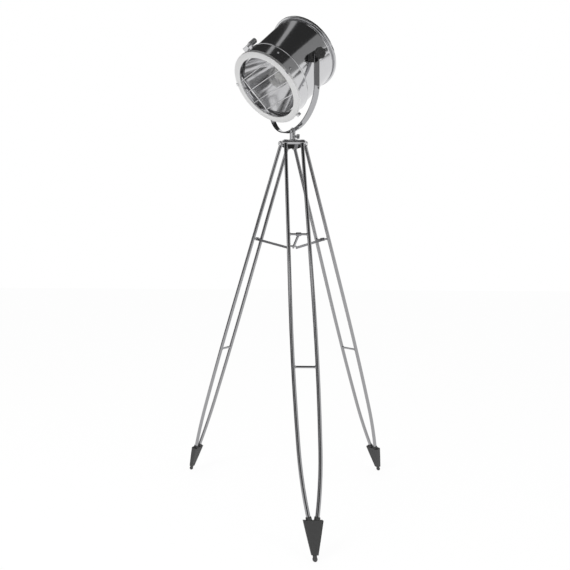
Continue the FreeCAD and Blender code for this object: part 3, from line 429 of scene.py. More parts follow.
class LAMP_OT_finishes(bpy.types.Operator):
    """Makes every finish and puts it on the frame's parts"""
    bl_idname = "lamp.finishes"
    bl_label = "Finishes"

    def execute(self, context):
        colours = context.scene.lamp_colours
        handled_surface()
        surface("dark_chrome", colours.rods, 1.0, 0.10, 0.24, 9.0, 260.0, 0.04, 0.72)
        surface("arm_steel", (0.018, 0.018, 0.02), 1.0, 0.20, 0.40, 20.0, 500.0, 0.10, 0.75)
        surface("dark_cast", colours.shoes, 0.55, 0.34, 0.55, 30.0, 900.0, 0.35, 0.65)
        surface("tip_rubber", (0.10, 0.10, 0.10), 0.4, 0.40, 0.65, 60.0, 900.0, 0.25, 0.6)
        surface("hub_metal", (0.21, 0.21, 0.22), 1.0, 0.14, 0.32, 30.0, 300.0, 0.05, 0.70)
        surface("bright_fastener", (0.72, 0.72, 0.73), 1.0, 0.07, 0.20, 50.0, 500.0, 0.03, 0.80)
        surface("yoke_chrome", colours.yoke, 1.0, 0.06, 0.18, 10.0, 240.0, 0.03, 0.80)
        surface("head_chrome", colours.head, 1.0, 0.03, 0.09, 7.0, 160.0, 0.012, 0.88)
        surface("satin_bezel", colours.ring, 1.0, 0.34, 0.44, 14.0, 700.0, 0.06, 0.95)
        surface("wire_chrome", (0.78, 0.78, 0.79), 1.0, 0.05, 0.14, 30.0, 300.0, 0.02, 0.85)
        surface("reflector_mirror", (0.62, 0.62, 0.63), 1.0, 0.015, 0.05, 16.0, 26.0, 0.07, 0.85)
        surface("bulb_brass", (0.70, 0.58, 0.34), 1.0, 0.22, 0.42, 60.0, 500.0, 0.08, 0.75)
        surface("filament_metal", (0.50, 0.50, 0.50), 1.0, 0.25, 0.40, 200.0, 900.0, 0.05, 0.8)
        surface("holder_ceramic", (0.84, 0.83, 0.80), 0.0, 0.12, 0.30, 24.0, 500.0, 0.04, 0.92, Coat_Weight=0.4)
        surface("black_plastic", colours.knobs, 0.0, 0.22, 0.42, 40.0, 800.0, 0.10, 0.8)
        glass = surface("bulb_glass", (0.97, 0.97, 0.96), 0.0, 0.0, 0.03, 30.0, 300.0, 0.01, 0.99,
                        Transmission_Weight=1.0, IOR=1.46)
        glass.node_tree.nodes["Principled BSDF"].inputs["Alpha"].default_value = 1.0
        for part in RECORD["subparts"]:
            data = NODES[part["node"]].data
            data.materials.clear()
            data.materials.append(bpy.data.materials[part["material_slot"]])
        return {"FINISHED"}


# ---------------------------------------------------------------- head
class LAMP_OT_drum(bpy.types.Operator):
    """Rear drum with a rolled edge, lengthwise seam and rivets, and the front collar with its bead"""
    bl_idname = "lamp.drum"
    bl_label = "Drum and collar"

    def execute(self, context):
        sizes = context.scene.lamp_sizes
        outer, inner = sizes.shell_radius, sizes.shell_radius - sizes.sheet
        bead = sizes.bead_height
        back, front = -86 * MM, 86 * MM
        outline = [(back, inner), (back, outer), (back + 10 * MM, outer), (back + 11.5 * MM, outer + bead * 0.7),
                   (back + 14.5 * MM, outer + bead * 0.7), (back + 16 * MM, outer), (front, outer), (front, inner)]
        shell = lathe(rounded(outline, 0.5 * MM, 3), DRUM, 192)
        seam = box((-68 * MM, -5 * MM, -outer - 0.5 * MM), (72 * MM, 5 * MM, -outer + 1 * MM), DRUM)
        rivets = [round_head(round_drum(along * MM, outer + 0.3 * MM, -90), -DRUM.col[2].to_3d(), 2.2 * MM, 1.0 * MM)
                  for along in (-58, -20, 18, 56)]
        piece("drum", shell, "head_chrome", "head", ["head_shell"])
        piece("drum_seam", bevelled(seam, 0.3 * MM, 2), "head_chrome", "head")
        piece("drum_rivets", joined(rivets), "bright_fastener", "head")

        top, under = sizes.collar_radius, sizes.collar_radius - sizes.sheet
        grip = outer + 0.1 * MM
        outline = [(74 * MM, grip), (73.6 * MM, grip + 2 * MM), (74.0 * MM, top + bead), (76.6 * MM, top + bead),
                   (77.6 * MM, top), (129.4 * MM, top), (129.7 * MM, top - 1 * MM), (129.7 * MM, 120 * MM),
                   (128.5 * MM, 120 * MM), (128.5 * MM, under), (77.4 * MM, under), (77.2 * MM, grip)]
        piece("front_drum_collar", lathe(rounded(outline, 0.6 * MM, 4), DRUM, 192), "head_chrome", "head",
              ["front_collar"])
        return {"FINISHED"}


class LAMP_OT_front_ring(bpy.types.Operator):
    """Flat front ring with rolled edges"""
    bl_idname = "lamp.front_ring"
    bl_label = "Front ring"

    def execute(self, context):
        sizes = context.scene.lamp_sizes
        rim, bore, sheet = sizes.bezel_radius, sizes.bezel_bore, sizes.sheet
        outline = [(130.0 * MM, bore), (133.0 * MM, bore), (133.0 * MM, rim), (124.0 * MM, rim),
                   (124.0 * MM, rim - sheet), (130.0 * MM, rim - sheet)]
        piece("front_ring", lathe(rounded(outline, 1.1 * MM, 5), DRUM, 192), "satin_bezel", "head", ["front_bezel"])
        return {"FINISHED"}


class LAMP_OT_grille(bpy.types.Operator):
    """Four level wires and one upright behind them, welded to a ring"""
    bl_idname = "lamp.grille"
    bl_label = "Wire grille"

    def execute(self, context):
        wire = context.scene.lamp_sizes.wire_radius
        plane, ring = 127.7 * MM, 117.0 * MM
        reach = ring - wire - 0.08 * MM
        circle = [DRUM @ Vector((plane, ring * math.cos(math.tau * step / 96), ring * math.sin(math.tau * step / 96)))
                  for step in range(96)]
        piece("grille_hoop", tube(circle, wire, 20, closed=True), "wire_chrome", "head", ["grille_ring"])
        bars, welds = [], []
        upright_at, behind = -82.0 * MM, plane - 2 * wire - 0.08 * MM
        for index in range(4):
            height = 3.0 * MM + (index - 1.5) * 43.3 * MM
            half = math.sqrt(reach ** 2 - (abs(height) + wire) ** 2)
            ends = [DRUM @ Vector((plane, side * half, height)) for side in (-1, 1)]
            bars.append(tube([ends[0].lerp(ends[1], step / 12) for step in range(13)], wire, 20))
            welds += [self.weld(end, ends[1] - ends[0], wire) for end in ends]
            if abs(upright_at) < half:
                crossing = DRUM @ Vector((plane - wire, upright_at, height))
                welds.append(self.weld(crossing, BEAM, wire * 0.8))
        half = math.sqrt(reach ** 2 - (abs(upright_at) + wire) ** 2) - 1.0 * MM
        bars.append(tube([DRUM @ Vector((behind, upright_at, -half + 2 * half * step / 12)) for step in range(13)],
                         wire, 20))
        piece("grille_bars", joined(bars), "wire_chrome", "head", ["grille_wires"])
        piece("grille_welds", joined(welds), "wire_chrome", "head")
        return {"FINISHED"}

    def weld(self, centre, direction, wire):
        """A small uneven blob of weld metal."""
        outline = [(-1.4 * wire, 0.0), (-1.1 * wire, 0.75 * wire), (-0.3 * wire, 1.28 * wire),
                   (0.4 * wire, 1.22 * wire), (1.1 * wire, 0.7 * wire), (1.4 * wire, 0.0)]
        return lathe(rounded(outline, wire, 2, closed=False), facing(centre, direction), 20, closed=False,
                     shape=lambda along, radius, angle: radius * (1 + 0.06 * math.sin(3 * angle)))


class LAMP_OT_reflector(bpy.types.Operator):
    """Spun reflector bowl with its flange"""
    bl_idname = "lamp.reflector"
    bl_label = "Reflector"

    def execute(self, context):
        back, front, mouth, neck = -32 * MM, 112 * MM, 107 * MM, 21 * MM
        focal = mouth ** 2 / (4 * (front - back))
        start = back + (front - back) * (neck / mouth) ** 2
        steps = 48
        inner = []
        for index in range(steps + 1):
            along = start + (front - start) * (index / steps) ** 1.6
            inner.append((along, math.sqrt(4 * focal * (along - back))))
        thick = 1.0 * MM
        outer = [(along - 0.7 * thick, radius + thick) for along, radius in reversed(inner[:-1])]
        rim = [(front, 128.4 * MM), (front - thick, 128.4 * MM), (front - thick, mouth + 2 * thick)]
        piece("reflector_bowl", lathe(inner + rim + outer, DRUM, 192), "reflector_mirror", "head", ["reflector"],
              sharp=50)
        return {"FINISHED"}


class LAMP_OT_bulb(bpy.types.Operator):
    """Clear pear bulb with its stem, support wires and coiled filament"""
    bl_idname = "lamp.bulb"
    bl_label = "Bulb"

    def execute(self, context):
        centre, radius, cap_front, neck = 38 * MM, 30 * MM, -20 * MM, 11 * MM
        profile = []
        for step in range(25):
            turn = math.radians(6 * step)
            profile.append(Vector((centre + radius * math.cos(turn), radius * math.sin(turn))))
        start, end = profile[-1], Vector((cap_front, neck))
        bend = Vector((cap_front + 14 * MM, neck + 2.0 * MM))
        for step in range(1, 11):
            share = step / 10
            profile.append(start * (1 - share) ** 2 + bend * (2 * share * (1 - share)) + end * share ** 2)
        inside = [point * 1.0 for point in profile]
        for index, point in enumerate(inside):
            before, after = profile[max(index - 1, 0)], profile[min(index + 1, len(profile) - 1)]
            along = (after - before).normalized()
            point += Vector((along.y, -along.x)) * -0.9 * MM if index else Vector((-0.9 * MM, 0))
            point.y = max(point.y, 0.0)
        piece("bulb_envelope", lathe(profile + inside[::-1], DRUM, 96), "bulb_glass", "head", ["bulb_glass"], sharp=60)

        stem = [(cap_front, 0.0), (cap_front, 6.5 * MM), (cap_front + 4 * MM, 5.0 * MM), (cap_front + 10 * MM, 3.2 * MM),
                (centre - 24 * MM, 3.0 * MM), (centre - 21 * MM, 3.8 * MM), (centre - 20 * MM, 0.0)]
        piece("bulb_stem", lathe(rounded(stem, 1.5 * MM), DRUM, 40), "bulb_glass", "head")
        wires = []
        for side in (-1, 1):
            line = [Vector((centre - 25 * MM, side * 1.8 * MM, 0)), Vector((centre - 12 * MM, side * 5.0 * MM, 0)),
                    Vector((centre - 2 * MM, side * 10.0 * MM, 0)), Vector((centre + 2 * MM, side * 11.4 * MM, 0))]
            wires.append(tube([DRUM @ point for point in line], 0.5 * MM, 10))
        hook = [Vector((centre - 24 * MM, 0, 0.5 * MM)), Vector((centre - 6 * MM, 0, 2.5 * MM)),
                Vector((centre + 5 * MM, 0, 3.2 * MM))]
        wires.append(tube([DRUM @ point for point in hook], 0.35 * MM, 8))
        turns, per_turn = 22, 12
        coil = []
        for step in range(turns * per_turn + 1):
            share = step / (turns * per_turn)
            angle = math.tau * turns * share
            sag = 1.6 * MM * math.sin(math.pi * share)
            coil.append(DRUM @ Vector((centre + 2 * MM + sag + 0.9 * MM * math.cos(angle),
                                       (share - 0.5) * 22.8 * MM, 0.9 * MM * math.sin(angle))))
        wires.append(tube(coil, 0.28 * MM, 6))
        piece("bulb_wires", joined(wires), "filament_metal", "head", ["bulb_filament"])
        return {"FINISHED"}


class LAMP_OT_rear_cover(bpy.types.Operator):
    """Domed rear cover with radial slots, and the cord gland in its middle"""
    bl_idname = "lamp.rear_cover"
    bl_label = "Rear cover"

    def execute(self, context):
        slots, slot_half = 16, 3.0 * MM
        slot_in, slot_out = 75 * MM, 101 * MM
        radii = [6.2 * MM, 12 * MM, 24 * MM, 40 * MM, 58 * MM, slot_in, 82 * MM, 88 * MM, 94 * MM, slot_out,
                 112 * MM, 120 * MM, 125 * MM]
        face = -88.5 * MM
        mesh = bmesh.new()
        share = 6
        rings = []
        for radius in radii:
            ring = []
            level = face - 13 * MM * (1 - (radius / (125 * MM)) ** 2)
            open_half = math.asin(min(slot_half / radius, 0.18))
            for slot in range(slots):
                middle = math.tau * slot / slots
                for angle in [-open_half + 2 * open_half * step / 2 for step in range(3)]:
                    ring.append((middle + angle, radius, level))
                for step in range(1, share):
                    ring.append((middle + open_half + (math.tau / slots - 2 * open_half) * step / share, radius, level))
            rings.append([mesh.verts.new(DRUM @ Vector((level, radius * math.cos(angle), radius * math.sin(angle))))
                          for angle, radius, level in ring])
        per_slot = 3 + share - 1
        for ring_index, (first, second) in enumerate(zip(rings, rings[1:])):
            open_ring = slot_in <= radii[ring_index] < slot_out
            for step in range(len(first)):
                if open_ring and step % per_slot < 2:
                    continue
                after = (step + 1) % len(first)
                mesh.faces.new((first[step], first[after], second[after], second[step]))
        bmesh.ops.recalc_face_normals(mesh, faces=mesh.faces)
        bmesh.ops.solidify(mesh, geom=mesh.faces, thickness=1.2 * MM)
        dish = mesh
        rim = [(-80.5 * MM, 126.1 * MM), (-80.5 * MM, 133 * MM), (face, 133 * MM), (face - 0.4 * MM, 124 * MM),
               (face + 1.2 * MM, 124 * MM), (face + 2.2 * MM, 126.1 * MM)]
        rolled = lathe(rounded(rim, 1.6 * MM, 6), DRUM, 192)
        piece("rear_cover_dish", dish, "head_chrome", "head", ["back_cover"])
        piece("rear_cover_rim", rolled, "head_chrome", "head")
        hub_face = face - 13 * MM
        gland = [(hub_face - 16 * MM, 3.6 * MM), (hub_face - 16 * MM, 5.4 * MM), (hub_face - 9 * MM, 6.4 * MM),
                 (hub_face - 5 * MM, 8.0 * MM), (hub_face + 0.1 * MM, 8.0 * MM), (hub_face + 0.1 * MM, 6.0 * MM),
                 (hub_face + 6 * MM, 6.0 * MM), (hub_face + 6 * MM, 3.6 * MM)]
        grips = 12
        piece("cord_gland_cap", lathe(rounded(gland, 0.6 * MM, 3), DRUM, 72, shape=lambda along, radius, angle:
              radius * (1 - 0.05 * (0.5 + 0.5 * math.cos(grips * angle))) if radius > 7 * MM else radius),
              "black_plastic", "head", ["cord_gland"])
        return {"FINISHED"}


class LAMP_OT_knobs(bpy.types.Operator):
    """Lobed tilt knobs, each with a black plastic insert in its face"""
    bl_idname = "lamp.knobs"
    bl_label = "Tilt knobs"

    def execute(self, context):
        sizes = context.scene.lamp_sizes
        start, neck, grip = 142.3 * MM, 9 * MM, 13 * MM
        for name, side in (("right", 1), ("left", -1)):
            place = facing(HEAD @ Vector((0, 0, 0)), PIVOT_LINE * side)
            outline = [(start, 4.1 * MM), (start, 10 * MM), (start + neck - 1.5 * MM, 9.4 * MM),
                       (start + neck, 12 * MM), (start + neck + 1.0 * MM, sizes.knob_radius),
                       (start + neck + grip, sizes.knob_radius), (start + neck + grip, 9.2 * MM),
                       (start + neck + grip - 1.6 * MM, 8.8 * MM), (start + neck + grip - 1.6 * MM, 4.1 * MM)]
            lobes = sizes.knob_lobes

            def lobed(along, radius, angle, lobes=lobes):
                if radius < 12.5 * MM:
                    return radius
                return radius * (1 - 0.13 * (0.5 - 0.5 * math.cos(lobes * angle)) ** 2)

            piece(name + "_lobed_knob", lathe(rounded(outline, 2.2 * MM, 6), place, 160, shape=lobed),
                  "black_plastic", name + "_tilt_knob", [name + "_tilt_knob"])
            face = start + neck + grip - 1.6 * MM
            insert = [(face - 1 * MM, 0.0), (face - 1 * MM, 8.4 * MM), (face + 0.5 * MM, 8.4 * MM),
                      (face + 0.9 * MM, 7.6 * MM), (face + 0.9 * MM, 4.6 * MM), (face + 0.1 * MM, 4.3 * MM),
                      (face + 0.1 * MM, 3.4 * MM), (face + 1.2 * MM, 3.0 * MM), (face + 1.2 * MM, 0.0)]
            piece(name + "_knob_insert", lathe(rounded(insert, 0.4 * MM, 3), place, 64), "black_plastic",
                  name + "_tilt_knob")
        return {"FINISHED"}


class LAMP_OT_catch(bpy.types.Operator):
    """Folded catch on the collar, and the two clips over the front ring"""
    bl_idname = "lamp.catch"
    bl_label = "Catch and clips"

    def execute(self, context):
        sizes = context.scene.lamp_sizes
        low = sizes.collar_radius - 1.0 * MM
        top, half, sheet = sizes.collar_radius + 17 * MM, 14 * MM, 2 * MM
        back, front = 80 * MM, 100 * MM
        walls = [box((back, -half, low), (back + sheet, half, top), DRUM),
                 box((front - sheet, -half, low), (front, half, top), DRUM),
                 box((back, -half, top - sheet), (front, half, top), DRUM)]
        walls = [bevelled(wall, sizes.edge, 3) for wall in walls]
        piece("catch_channel", joined(walls), "head_chrome", "head", ["catch_bracket"])
        clips = []
        for degrees in (3.0, 150.0):
            place = DRUM @ Matrix.Rotation(math.radians(degrees - 90), 4, "X")
            over = sizes.bezel_radius + 0.1 * MM
            parts = [box((108 * MM, -5.5 * MM, sizes.collar_radius - 0.3 * MM), (118 * MM, 5.5 * MM, over + 1.5 * MM), place),
                     box((109 * MM, -5.5 * MM, over), (134.6 * MM, 5.5 * MM, over + 1.5 * MM), place),
                     box((133.1 * MM, -5.5 * MM, over - 5 * MM), (134.6 * MM, 5.5 * MM, over + 1.5 * MM), place)]
            clips += [bevelled(part, 0.5 * MM, 3) for part in parts]
            clips.append(round_head(place @ Vector((113 * MM, 0, over + 1.4 * MM)), place.col[2].to_3d(),
                                    2.6 * MM, 1.4 * MM))
        piece("front_ring_clips", joined(clips), "bright_fastener", "head", ["bezel_clips"])
        return {"FINISHED"}


class LAMP_OT_small_screws(bpy.types.Operator):
    """Round-headed screws on the collar, the rear cover and the hub cap"""
    bl_idname = "lamp.small_screws"
    bl_label = "Small screws"

    def execute(self, context):
        collar = []
        for index in range(6):
            degrees = 31.0 + 60 * index
            base = round_drum(94 * MM, 130.5 * MM, degrees)
            collar.append(round_head(base, base - round_drum(94 * MM, 0, degrees), 3.2 * MM, 2.0 * MM))
        piece("collar_dome_screws", joined(collar), "bright_fastener", "head", ["collar_screws"])
        cover = [round_head(round_drum(-90.4 * MM, 116 * MM, 45 + 90 * index), -BEAM, 3.4 * MM, 2.2 * MM)
                 for index in range(4)]
        piece("cover_dome_screws", joined(cover), "bright_fastener", "head", ["cover_screws"])
        cap = []
        for index in range(3):
            turn = math.tau * index / 3
            cap.append(round_head((-17.5 * MM * math.sin(turn), 17.5 * MM * math.cos(turn), 1191 * MM), UP,
                                  3.2 * MM, 2.2 * MM))
        piece("cap_dome_screws", joined(cap), "bright_fastener", "hub", ["hub_cap_screws"])
        return {"FINISHED"}


# ---------------------------------------------------------------- yoke, hub and legs
class LAMP_OT_yoke(bpy.types.Operator):
    """Yoke strip with rounded edges, its washer and domed bolt"""
    bl_idname = "lamp.yoke"
    bl_label = "Yoke"

    def execute(self, context):
        edge = context.scene.lamp_sizes.edge
        span, depth, width, thick = 140 * MM, 211 * MM, 20 * MM, 4 * MM
        flat, rise, corner = 12 * MM, 115 * MM, 100 * MM
        reach = span - flat
        big = (reach ** 2 + rise ** 2 - 2 * reach * corner) / (2 * (rise - corner))
        meet = math.atan2(big - rise, span - corner - flat)
        half_line = [(0.0, 0.0, -1.0, 0.0)]
        for step in range(25):
            turn = math.pi / 2 + (meet - math.pi / 2) * step / 24
            half_line.append((flat + big * math.cos(turn), big - big * math.sin(turn), -math.sin(turn), math.cos(turn)))
        for step in range(1, 33):
            turn = meet * (1 - step / 32)
            half_line.append((span - corner + corner * math.cos(turn), rise - corner * math.sin(turn),
                              -math.sin(turn), math.cos(turn)))
        for step in range(1, 9):
            half_line.append((span, rise + (depth - rise) * step / 8, 0.0, 1.0))
        for step in range(1, 13):
            turn = math.pi / 2 * step / 12
            half_line.append((span, depth + width / 2 * math.sin(turn) * 0.999, 0.0, 1.0))
        line = [(-across, up, up_part, -side_part) for across, up, up_part, side_part in half_line[:0:-1]]
        line += half_line
        mesh = bmesh.new()
        rings = []
        for across, up, up_part, side_part in line:
            past = max(up - depth, 0.0)
            half = math.sqrt(max((width / 2) ** 2 - past ** 2, (0.4 * MM) ** 2))
            section = rounded([(-half, 1 - thick / 2), (half, 1 - thick / 2), (half, 1 + thick / 2),
                               (-half, 1 + thick / 2)], min(edge, half * 0.8), 3)
            ring = []
            for wide, high in section:
                high -= 1
                ring.append(mesh.verts.new(YOKE @ Vector((wide, across + high * side_part,
                                                          up + thick / 2 + high * up_part))))
            rings.append(ring)
        for first, second in zip(rings, rings[1:]):
            for index in range(len(first)):
                after = (index + 1) % len(first)
                mesh.faces.new((first[index], first[after], second[after], second[index]))
        mesh.faces.new(rings[0])
        mesh.faces.new(rings[-1][::-1])
        piece("yoke_band", mesh, "yoke_chrome", "yoke", ["yoke"], sharp=40)

        seat = YOKE @ Vector((0, 0, thick))
        washer = [(0, 4.1 * MM), (0, 9 * MM), (1.2 * MM, 9 * MM), (1.2 * MM, 4.1 * MM)]
        piece("yoke_flat_washer", lathe(rounded(washer, 0.4 * MM, 3), facing(seat, UP), 64), "hub_metal", "yoke",
              ["yoke_washer"])
        head = [(1.2 * MM, 0.0), (1.2 * MM, 7.5 * MM), (3.0 * MM, 7.5 * MM), (5.8 * MM, 6.2 * MM), (7.6 * MM, 3.4 * MM),
                (7.8 * MM, 0.0)]
        piece("yoke_dome_bolt", lathe(rounded(head, 1.6 * MM, 5), facing(seat, UP), 64), "hub_metal", "yoke")
        return {"FINISHED"}


class LAMP_OT_hub(bpy.types.Operator):
    """Hub cap and post with eased edges, and domed nuts on the leg pins"""
    bl_idname = "lamp.hub"
    bl_label = "Hub fittings"

    def execute(self, context):
        base = facing((0, 0, 0), UP)
        cap = [(1188 * MM, 0.0), (1188 * MM, 27 * MM), (1191 * MM, 27 * MM), (1191 * MM, 0.0)]
        piece("cap_plate", lathe(rounded(cap, 0.9 * MM, 4), base, 96), "hub_metal", "hub", ["hub_cap"])
        foot, top = 1191 * MM, 1224.5 * MM
        post = [(foot, 0.0), (foot, 12.5 * MM), (foot + 2 * MM, 12.5 * MM), (foot + 3 * MM, 10 * MM), (top - 6 * MM, 10 * MM),
                (top - 5.6 * MM, 9.5 * MM), (top - 5.0 * MM, 9.5 * MM), (top - 4.6 * MM, 10 * MM), (top, 10 * MM),
                (top, 6.1 * MM), (top - 10 * MM, 6.1 * MM), (top - 10 * MM, 0.0)]
        piece("post_tube", lathe(rounded(post, 0.5 * MM, 3), base, 96), "hub_metal", "hub", ["post"])
        nuts = []
        for index in range(3):
            turn = Matrix.Rotation(index * math.tau / 3, 4, "Z")
            for side in (-1, 1):
                at = turn @ (FOLD_AT + Vector((side * 34.8 * MM, 0, 0)))
                way = turn.to_3x3() @ Vector((side, 0, 0))
                outline = [(0, 0.0), (0, 6.5 * MM), (3.2 * MM, 6.5 * MM), (4.0 * MM, 5.2 * MM), (6.2 * MM, 3.6 * MM),
                           (6.9 * MM, 0.0)]
                nuts.append(lathe(rounded(outline, 0.8 * MM, 4), facing(at, way), 48, shape=lambda along, radius, angle:
                                  radius * math.cos(math.pi / 6) / math.cos((angle + math.pi / 6) % (math.pi / 3)
                                                                            - math.pi / 6)
                                  if along < 3.6 * MM and radius > 5.5 * MM else radius))
        piece("pin_acorn_nuts", joined(nuts), "bright_fastener", "hub", ["leg_pin_nuts"])
        return {"FINISHED"}


def rod_offset(depth):
    """Distance of a rod's centre from the leg's middle, and its heading, at a depth below the pin."""
    splay, turn = math.radians(0.70), math.radians(2.9)
    straight, belly, toe = 560 * MM, 8200 * MM, 1150 * MM
    knee_x, knee_depth = 28.3 * MM + straight * math.sin(splay), straight * math.cos(splay)
    if depth <= knee_depth:
        return 28.3 * MM + depth * math.tan(splay), splay
    centre_x, centre_depth = knee_x - belly * math.cos(splay), knee_depth + belly * math.sin(splay)
    last = splay - turn
    if depth <= centre_depth - belly * math.sin(last):
        angle = math.asin((centre_depth - depth) / belly)
        return centre_x + belly * math.cos(angle), angle
    toe_x = centre_x + (belly - toe) * math.cos(last)
    toe_depth = centre_depth - (belly - toe) * math.sin(last)
    angle = math.asin((toe_depth - depth) / toe)
    return toe_x + toe * math.cos(angle), angle


class LAMP_OT_leg_details(bpy.types.Operator):
    """Weld beads at the rungs, cast shoes and the ferrules where the rods enter them"""
    bl_idname = "lamp.leg_details"
    bl_label = "Leg details"

    def execute(self, context):
        sizes = context.scene.lamp_sizes
        length = math.hypot(376 * MM, 1180 * MM)
        toe_at = length - 15 * MM
        top_at = toe_at - 79 * MM
        for index, leg in enumerate(LEGS):
            place = leg_frame(index)
            welds = []
            for depth in (339 * MM, 752 * MM):
                for side in (-1, 1):
                    centre, angle = rod_offset(depth)
                    start = Vector((side * (centre - sizes.rod_radius + 0.4 * MM), 0, -depth))
                    base = place @ start
                    way = place.to_3x3() @ Vector((-side, 0, 0))
                    outline = [(-1 * MM, 0.0), (-1 * MM, 5.6 * MM), (0.6 * MM, 5.0 * MM), (1.8 * MM, 4.1 * MM),
                               (3.0 * MM, sizes.rung_radius), (3.0 * MM, 0.0)]
                    welds.append(lathe(rounded(outline, 0.8 * MM, 3), facing(base, way), 32,
                                       shape=lambda along, radius, turn: radius * (1 + 0.035 * math.sin(7 * turn))))
            piece(leg + "_rung_welds", joined(welds), "dark_chrome", leg + "_leg")

            corners = [(-1, -1), (1, -1), (1, 1), (-1, 1)]
            levels = [(top_at, 26 * MM, 9 * MM), (top_at + 79 * MM * 0.5, 17.6 * MM, 7.4 * MM),
                      (toe_at, 8.75 * MM, 5.5 * MM)]
            mesh = bmesh.new()
            rings = [[mesh.verts.new(place @ Vector((x * wide, y * deep, -depth))) for x, y in corners]
                     for depth, wide, deep in levels]
            mesh.faces.new(rings[0])
            mesh.faces.new(rings[-1][::-1])
            for first, second in zip(rings, rings[1:]):
                for step in range(4):
                    after = (step + 1) % 4
                    mesh.faces.new((first[step], first[after], second[after], second[step]))
            piece(leg + "_cast_shoe", bevelled(mesh, 2.2 * MM, 4), "dark_cast", leg + "_leg", [leg + "_foot_shoe"])

            ferrules = []
            for side in (-1, 1):
                depth = top_at - 5 * MM
                centre, angle = rod_offset(depth)
                base = place @ Vector((side * centre, 0, -depth))
                way = place.to_3x3() @ Vector((side * math.sin(angle), 0, -math.cos(angle)))
                rod = sizes.rod_radius
                outline = [(-3 * MM, rod + 0.05 * MM), (-3 * MM, rod + 1.2 * MM), (-1 * MM, rod + 1.9 * MM),
                           (7 * MM, rod + 2.2 * MM), (7 * MM, rod + 0.05 * MM)]
                ferrules.append(lathe(rounded(outline, 0.6 * MM, 3), facing(base, way), 40))
            piece(leg + "_shoe_ferrules", joined(ferrules), "dark_cast", leg + "_leg")
        return {"FINISHED"}


class LAMP_OT_spider(bpy.types.Operator):
    """Spider arms with deep sides and rolled ends, their collars, and the button over their inner ends"""
    bl_idname = "lamp.spider"
    bl_label = "Spider"

    def execute(self, context):
        low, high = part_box("spider_button")
        button = [(0.0, 0.0), (0.0, 14 * MM), (2.6 * MM, 14 * MM), (3.4 * MM, 12.8 * MM), (5.0 * MM, 8.0 * MM),
                  (5.6 * MM, 0.0)]
        piece("spider_dome_button", lathe(rounded(button, 1.2 * MM, 5), facing((0, 0, low.z), UP), 64),
              "arm_steel", "spider_button", ["spider_button"])
        rung_depth = 339 * MM
        for index, leg in enumerate(LEGS):
            place = leg_frame(index)
            collars = []
            for side in (-1, 1):
                base = place @ Vector((side * 7.0 * MM, 0, -rung_depth))
                way = place.to_3x3() @ Vector((side, 0, 0))
                outline = [(0, 3.6 * MM), (0, 5.6 * MM), (1.4 * MM, 5.4 * MM), (1.8 * MM, 4.6 * MM), (1.8 * MM, 3.6 * MM)]
                collars.append(lathe(rounded(outline, 0.4 * MM, 3), facing(base, way), 40))
            turn = Matrix.Rotation(index * math.tau / 3, 4, "Z")
            outer = Matrix.Rotation(-index * math.tau / 3, 4, "Z") @ (place @ Vector((0, 0, -rung_depth)))
            inner = Vector((0, -15.0 * MM, outer.z - 33.0 * MM))
            along = (inner - outer).normalized()
            rise = along.cross(Vector((1, 0, 0))).normalized() * -1
            if rise.z < 0:
                rise = -rise
            bar_place = turn @ own_frame(along, rise.cross(along), rise, outer)
            reach = (inner - outer).length
            bar = box((5.2 * MM, -2.6 * MM, -5.5 * MM), (reach, 2.6 * MM, 2.5 * MM), bar_place)
            barrel = [(-7 * MM, 3.6 * MM), (-7 * MM, 6.0 * MM), (7 * MM, 6.0 * MM), (7 * MM, 3.6 * MM)]
            sleeve = lathe(rounded(barrel, 0.7 * MM, 3), facing(place @ Vector((0, 0, -rung_depth)),
                                                                place.to_3x3() @ Vector((1, 0, 0))), 48)
            piece(leg + "_arm_bar", joined([bevelled(bar, 0.7 * MM, 3), sleeve] + collars), "arm_steel",
                  leg + "_spider_arm", [leg + "_spider_arm"])
        return {"FINISHED"}


# ---------------------------------------------------------------- stage
# name, centre, way it faces, width, height, shade; only reflections see these
CARDS = (
    ("card_overhead", (0.0, -0.6, 3.3), (0, 0, -1), 6.0, 5.6, 0.035),
    ("card_wedge", (-0.30, 0.0, 3.28), (0, 0, -1), 0.16, 2.6, 0.45),
    ("card_streak", (-1.1, 0.9, 3.28), (0, 0, -1), 0.5, 2.0, 0.22),
    ("card_grey_side", (2.0, -1.75, 2.75), (-0.75, 0.5, -0.42), 2.6, 1.5, 0.28),
    ("card_dark_side", (2.9, -0.75, 1.84), (-1, 0.25, 0), 1.6, 0.30, 0.04),
    ("card_thin_side", (2.9, 0.1, 1.48), (-1, 0.0, 0), 1.2, 0.10, 0.06),
    ("card_bowl_left", (-1.425, -0.115, 0.861), (0.936, 0.082, 0.342), 1.0, 1.0, 0.03),
    ("card_bowl_back", (-0.23, 1.31, 0.861), (0.082, -0.936, 0.342), 1.0, 1.0, 0.03),
    ("card_bowl_high", (-1.165, 0.85, 1.703), (0.75, -0.607, -0.259), 1.0, 0.8, 0.03),
    ("card_rods_left", (-2.6, -0.9, 0.8), (1, 0.15, 0), 3.0, 1.9, 0.16),
    ("card_front_left", (-1.05, -3.4, 1.2), (0.2, 1, 0), 1.8, 3.2, 0.05),
    ("card_front_middle", (-0.05, -3.45, 1.2), (0, 1, 0), 0.34, 3.2, 0.38),
    ("card_front_right", (0.80, -3.4, 1.2), (-0.2, 1, 0), 1.4, 3.2, 0.05),
)
# name, centre, aim, width, height, watts
LAMPS = (
    ("softbox_left", (-1.9, -1.8, 2.3), (0, 0, 1.2), 0.9, 1.2, 22.0),
    ("softbox_right", (2.2, -2.6, 1.2), (0, 0, 0.8), 0.5, 1.6, 14.0),
)


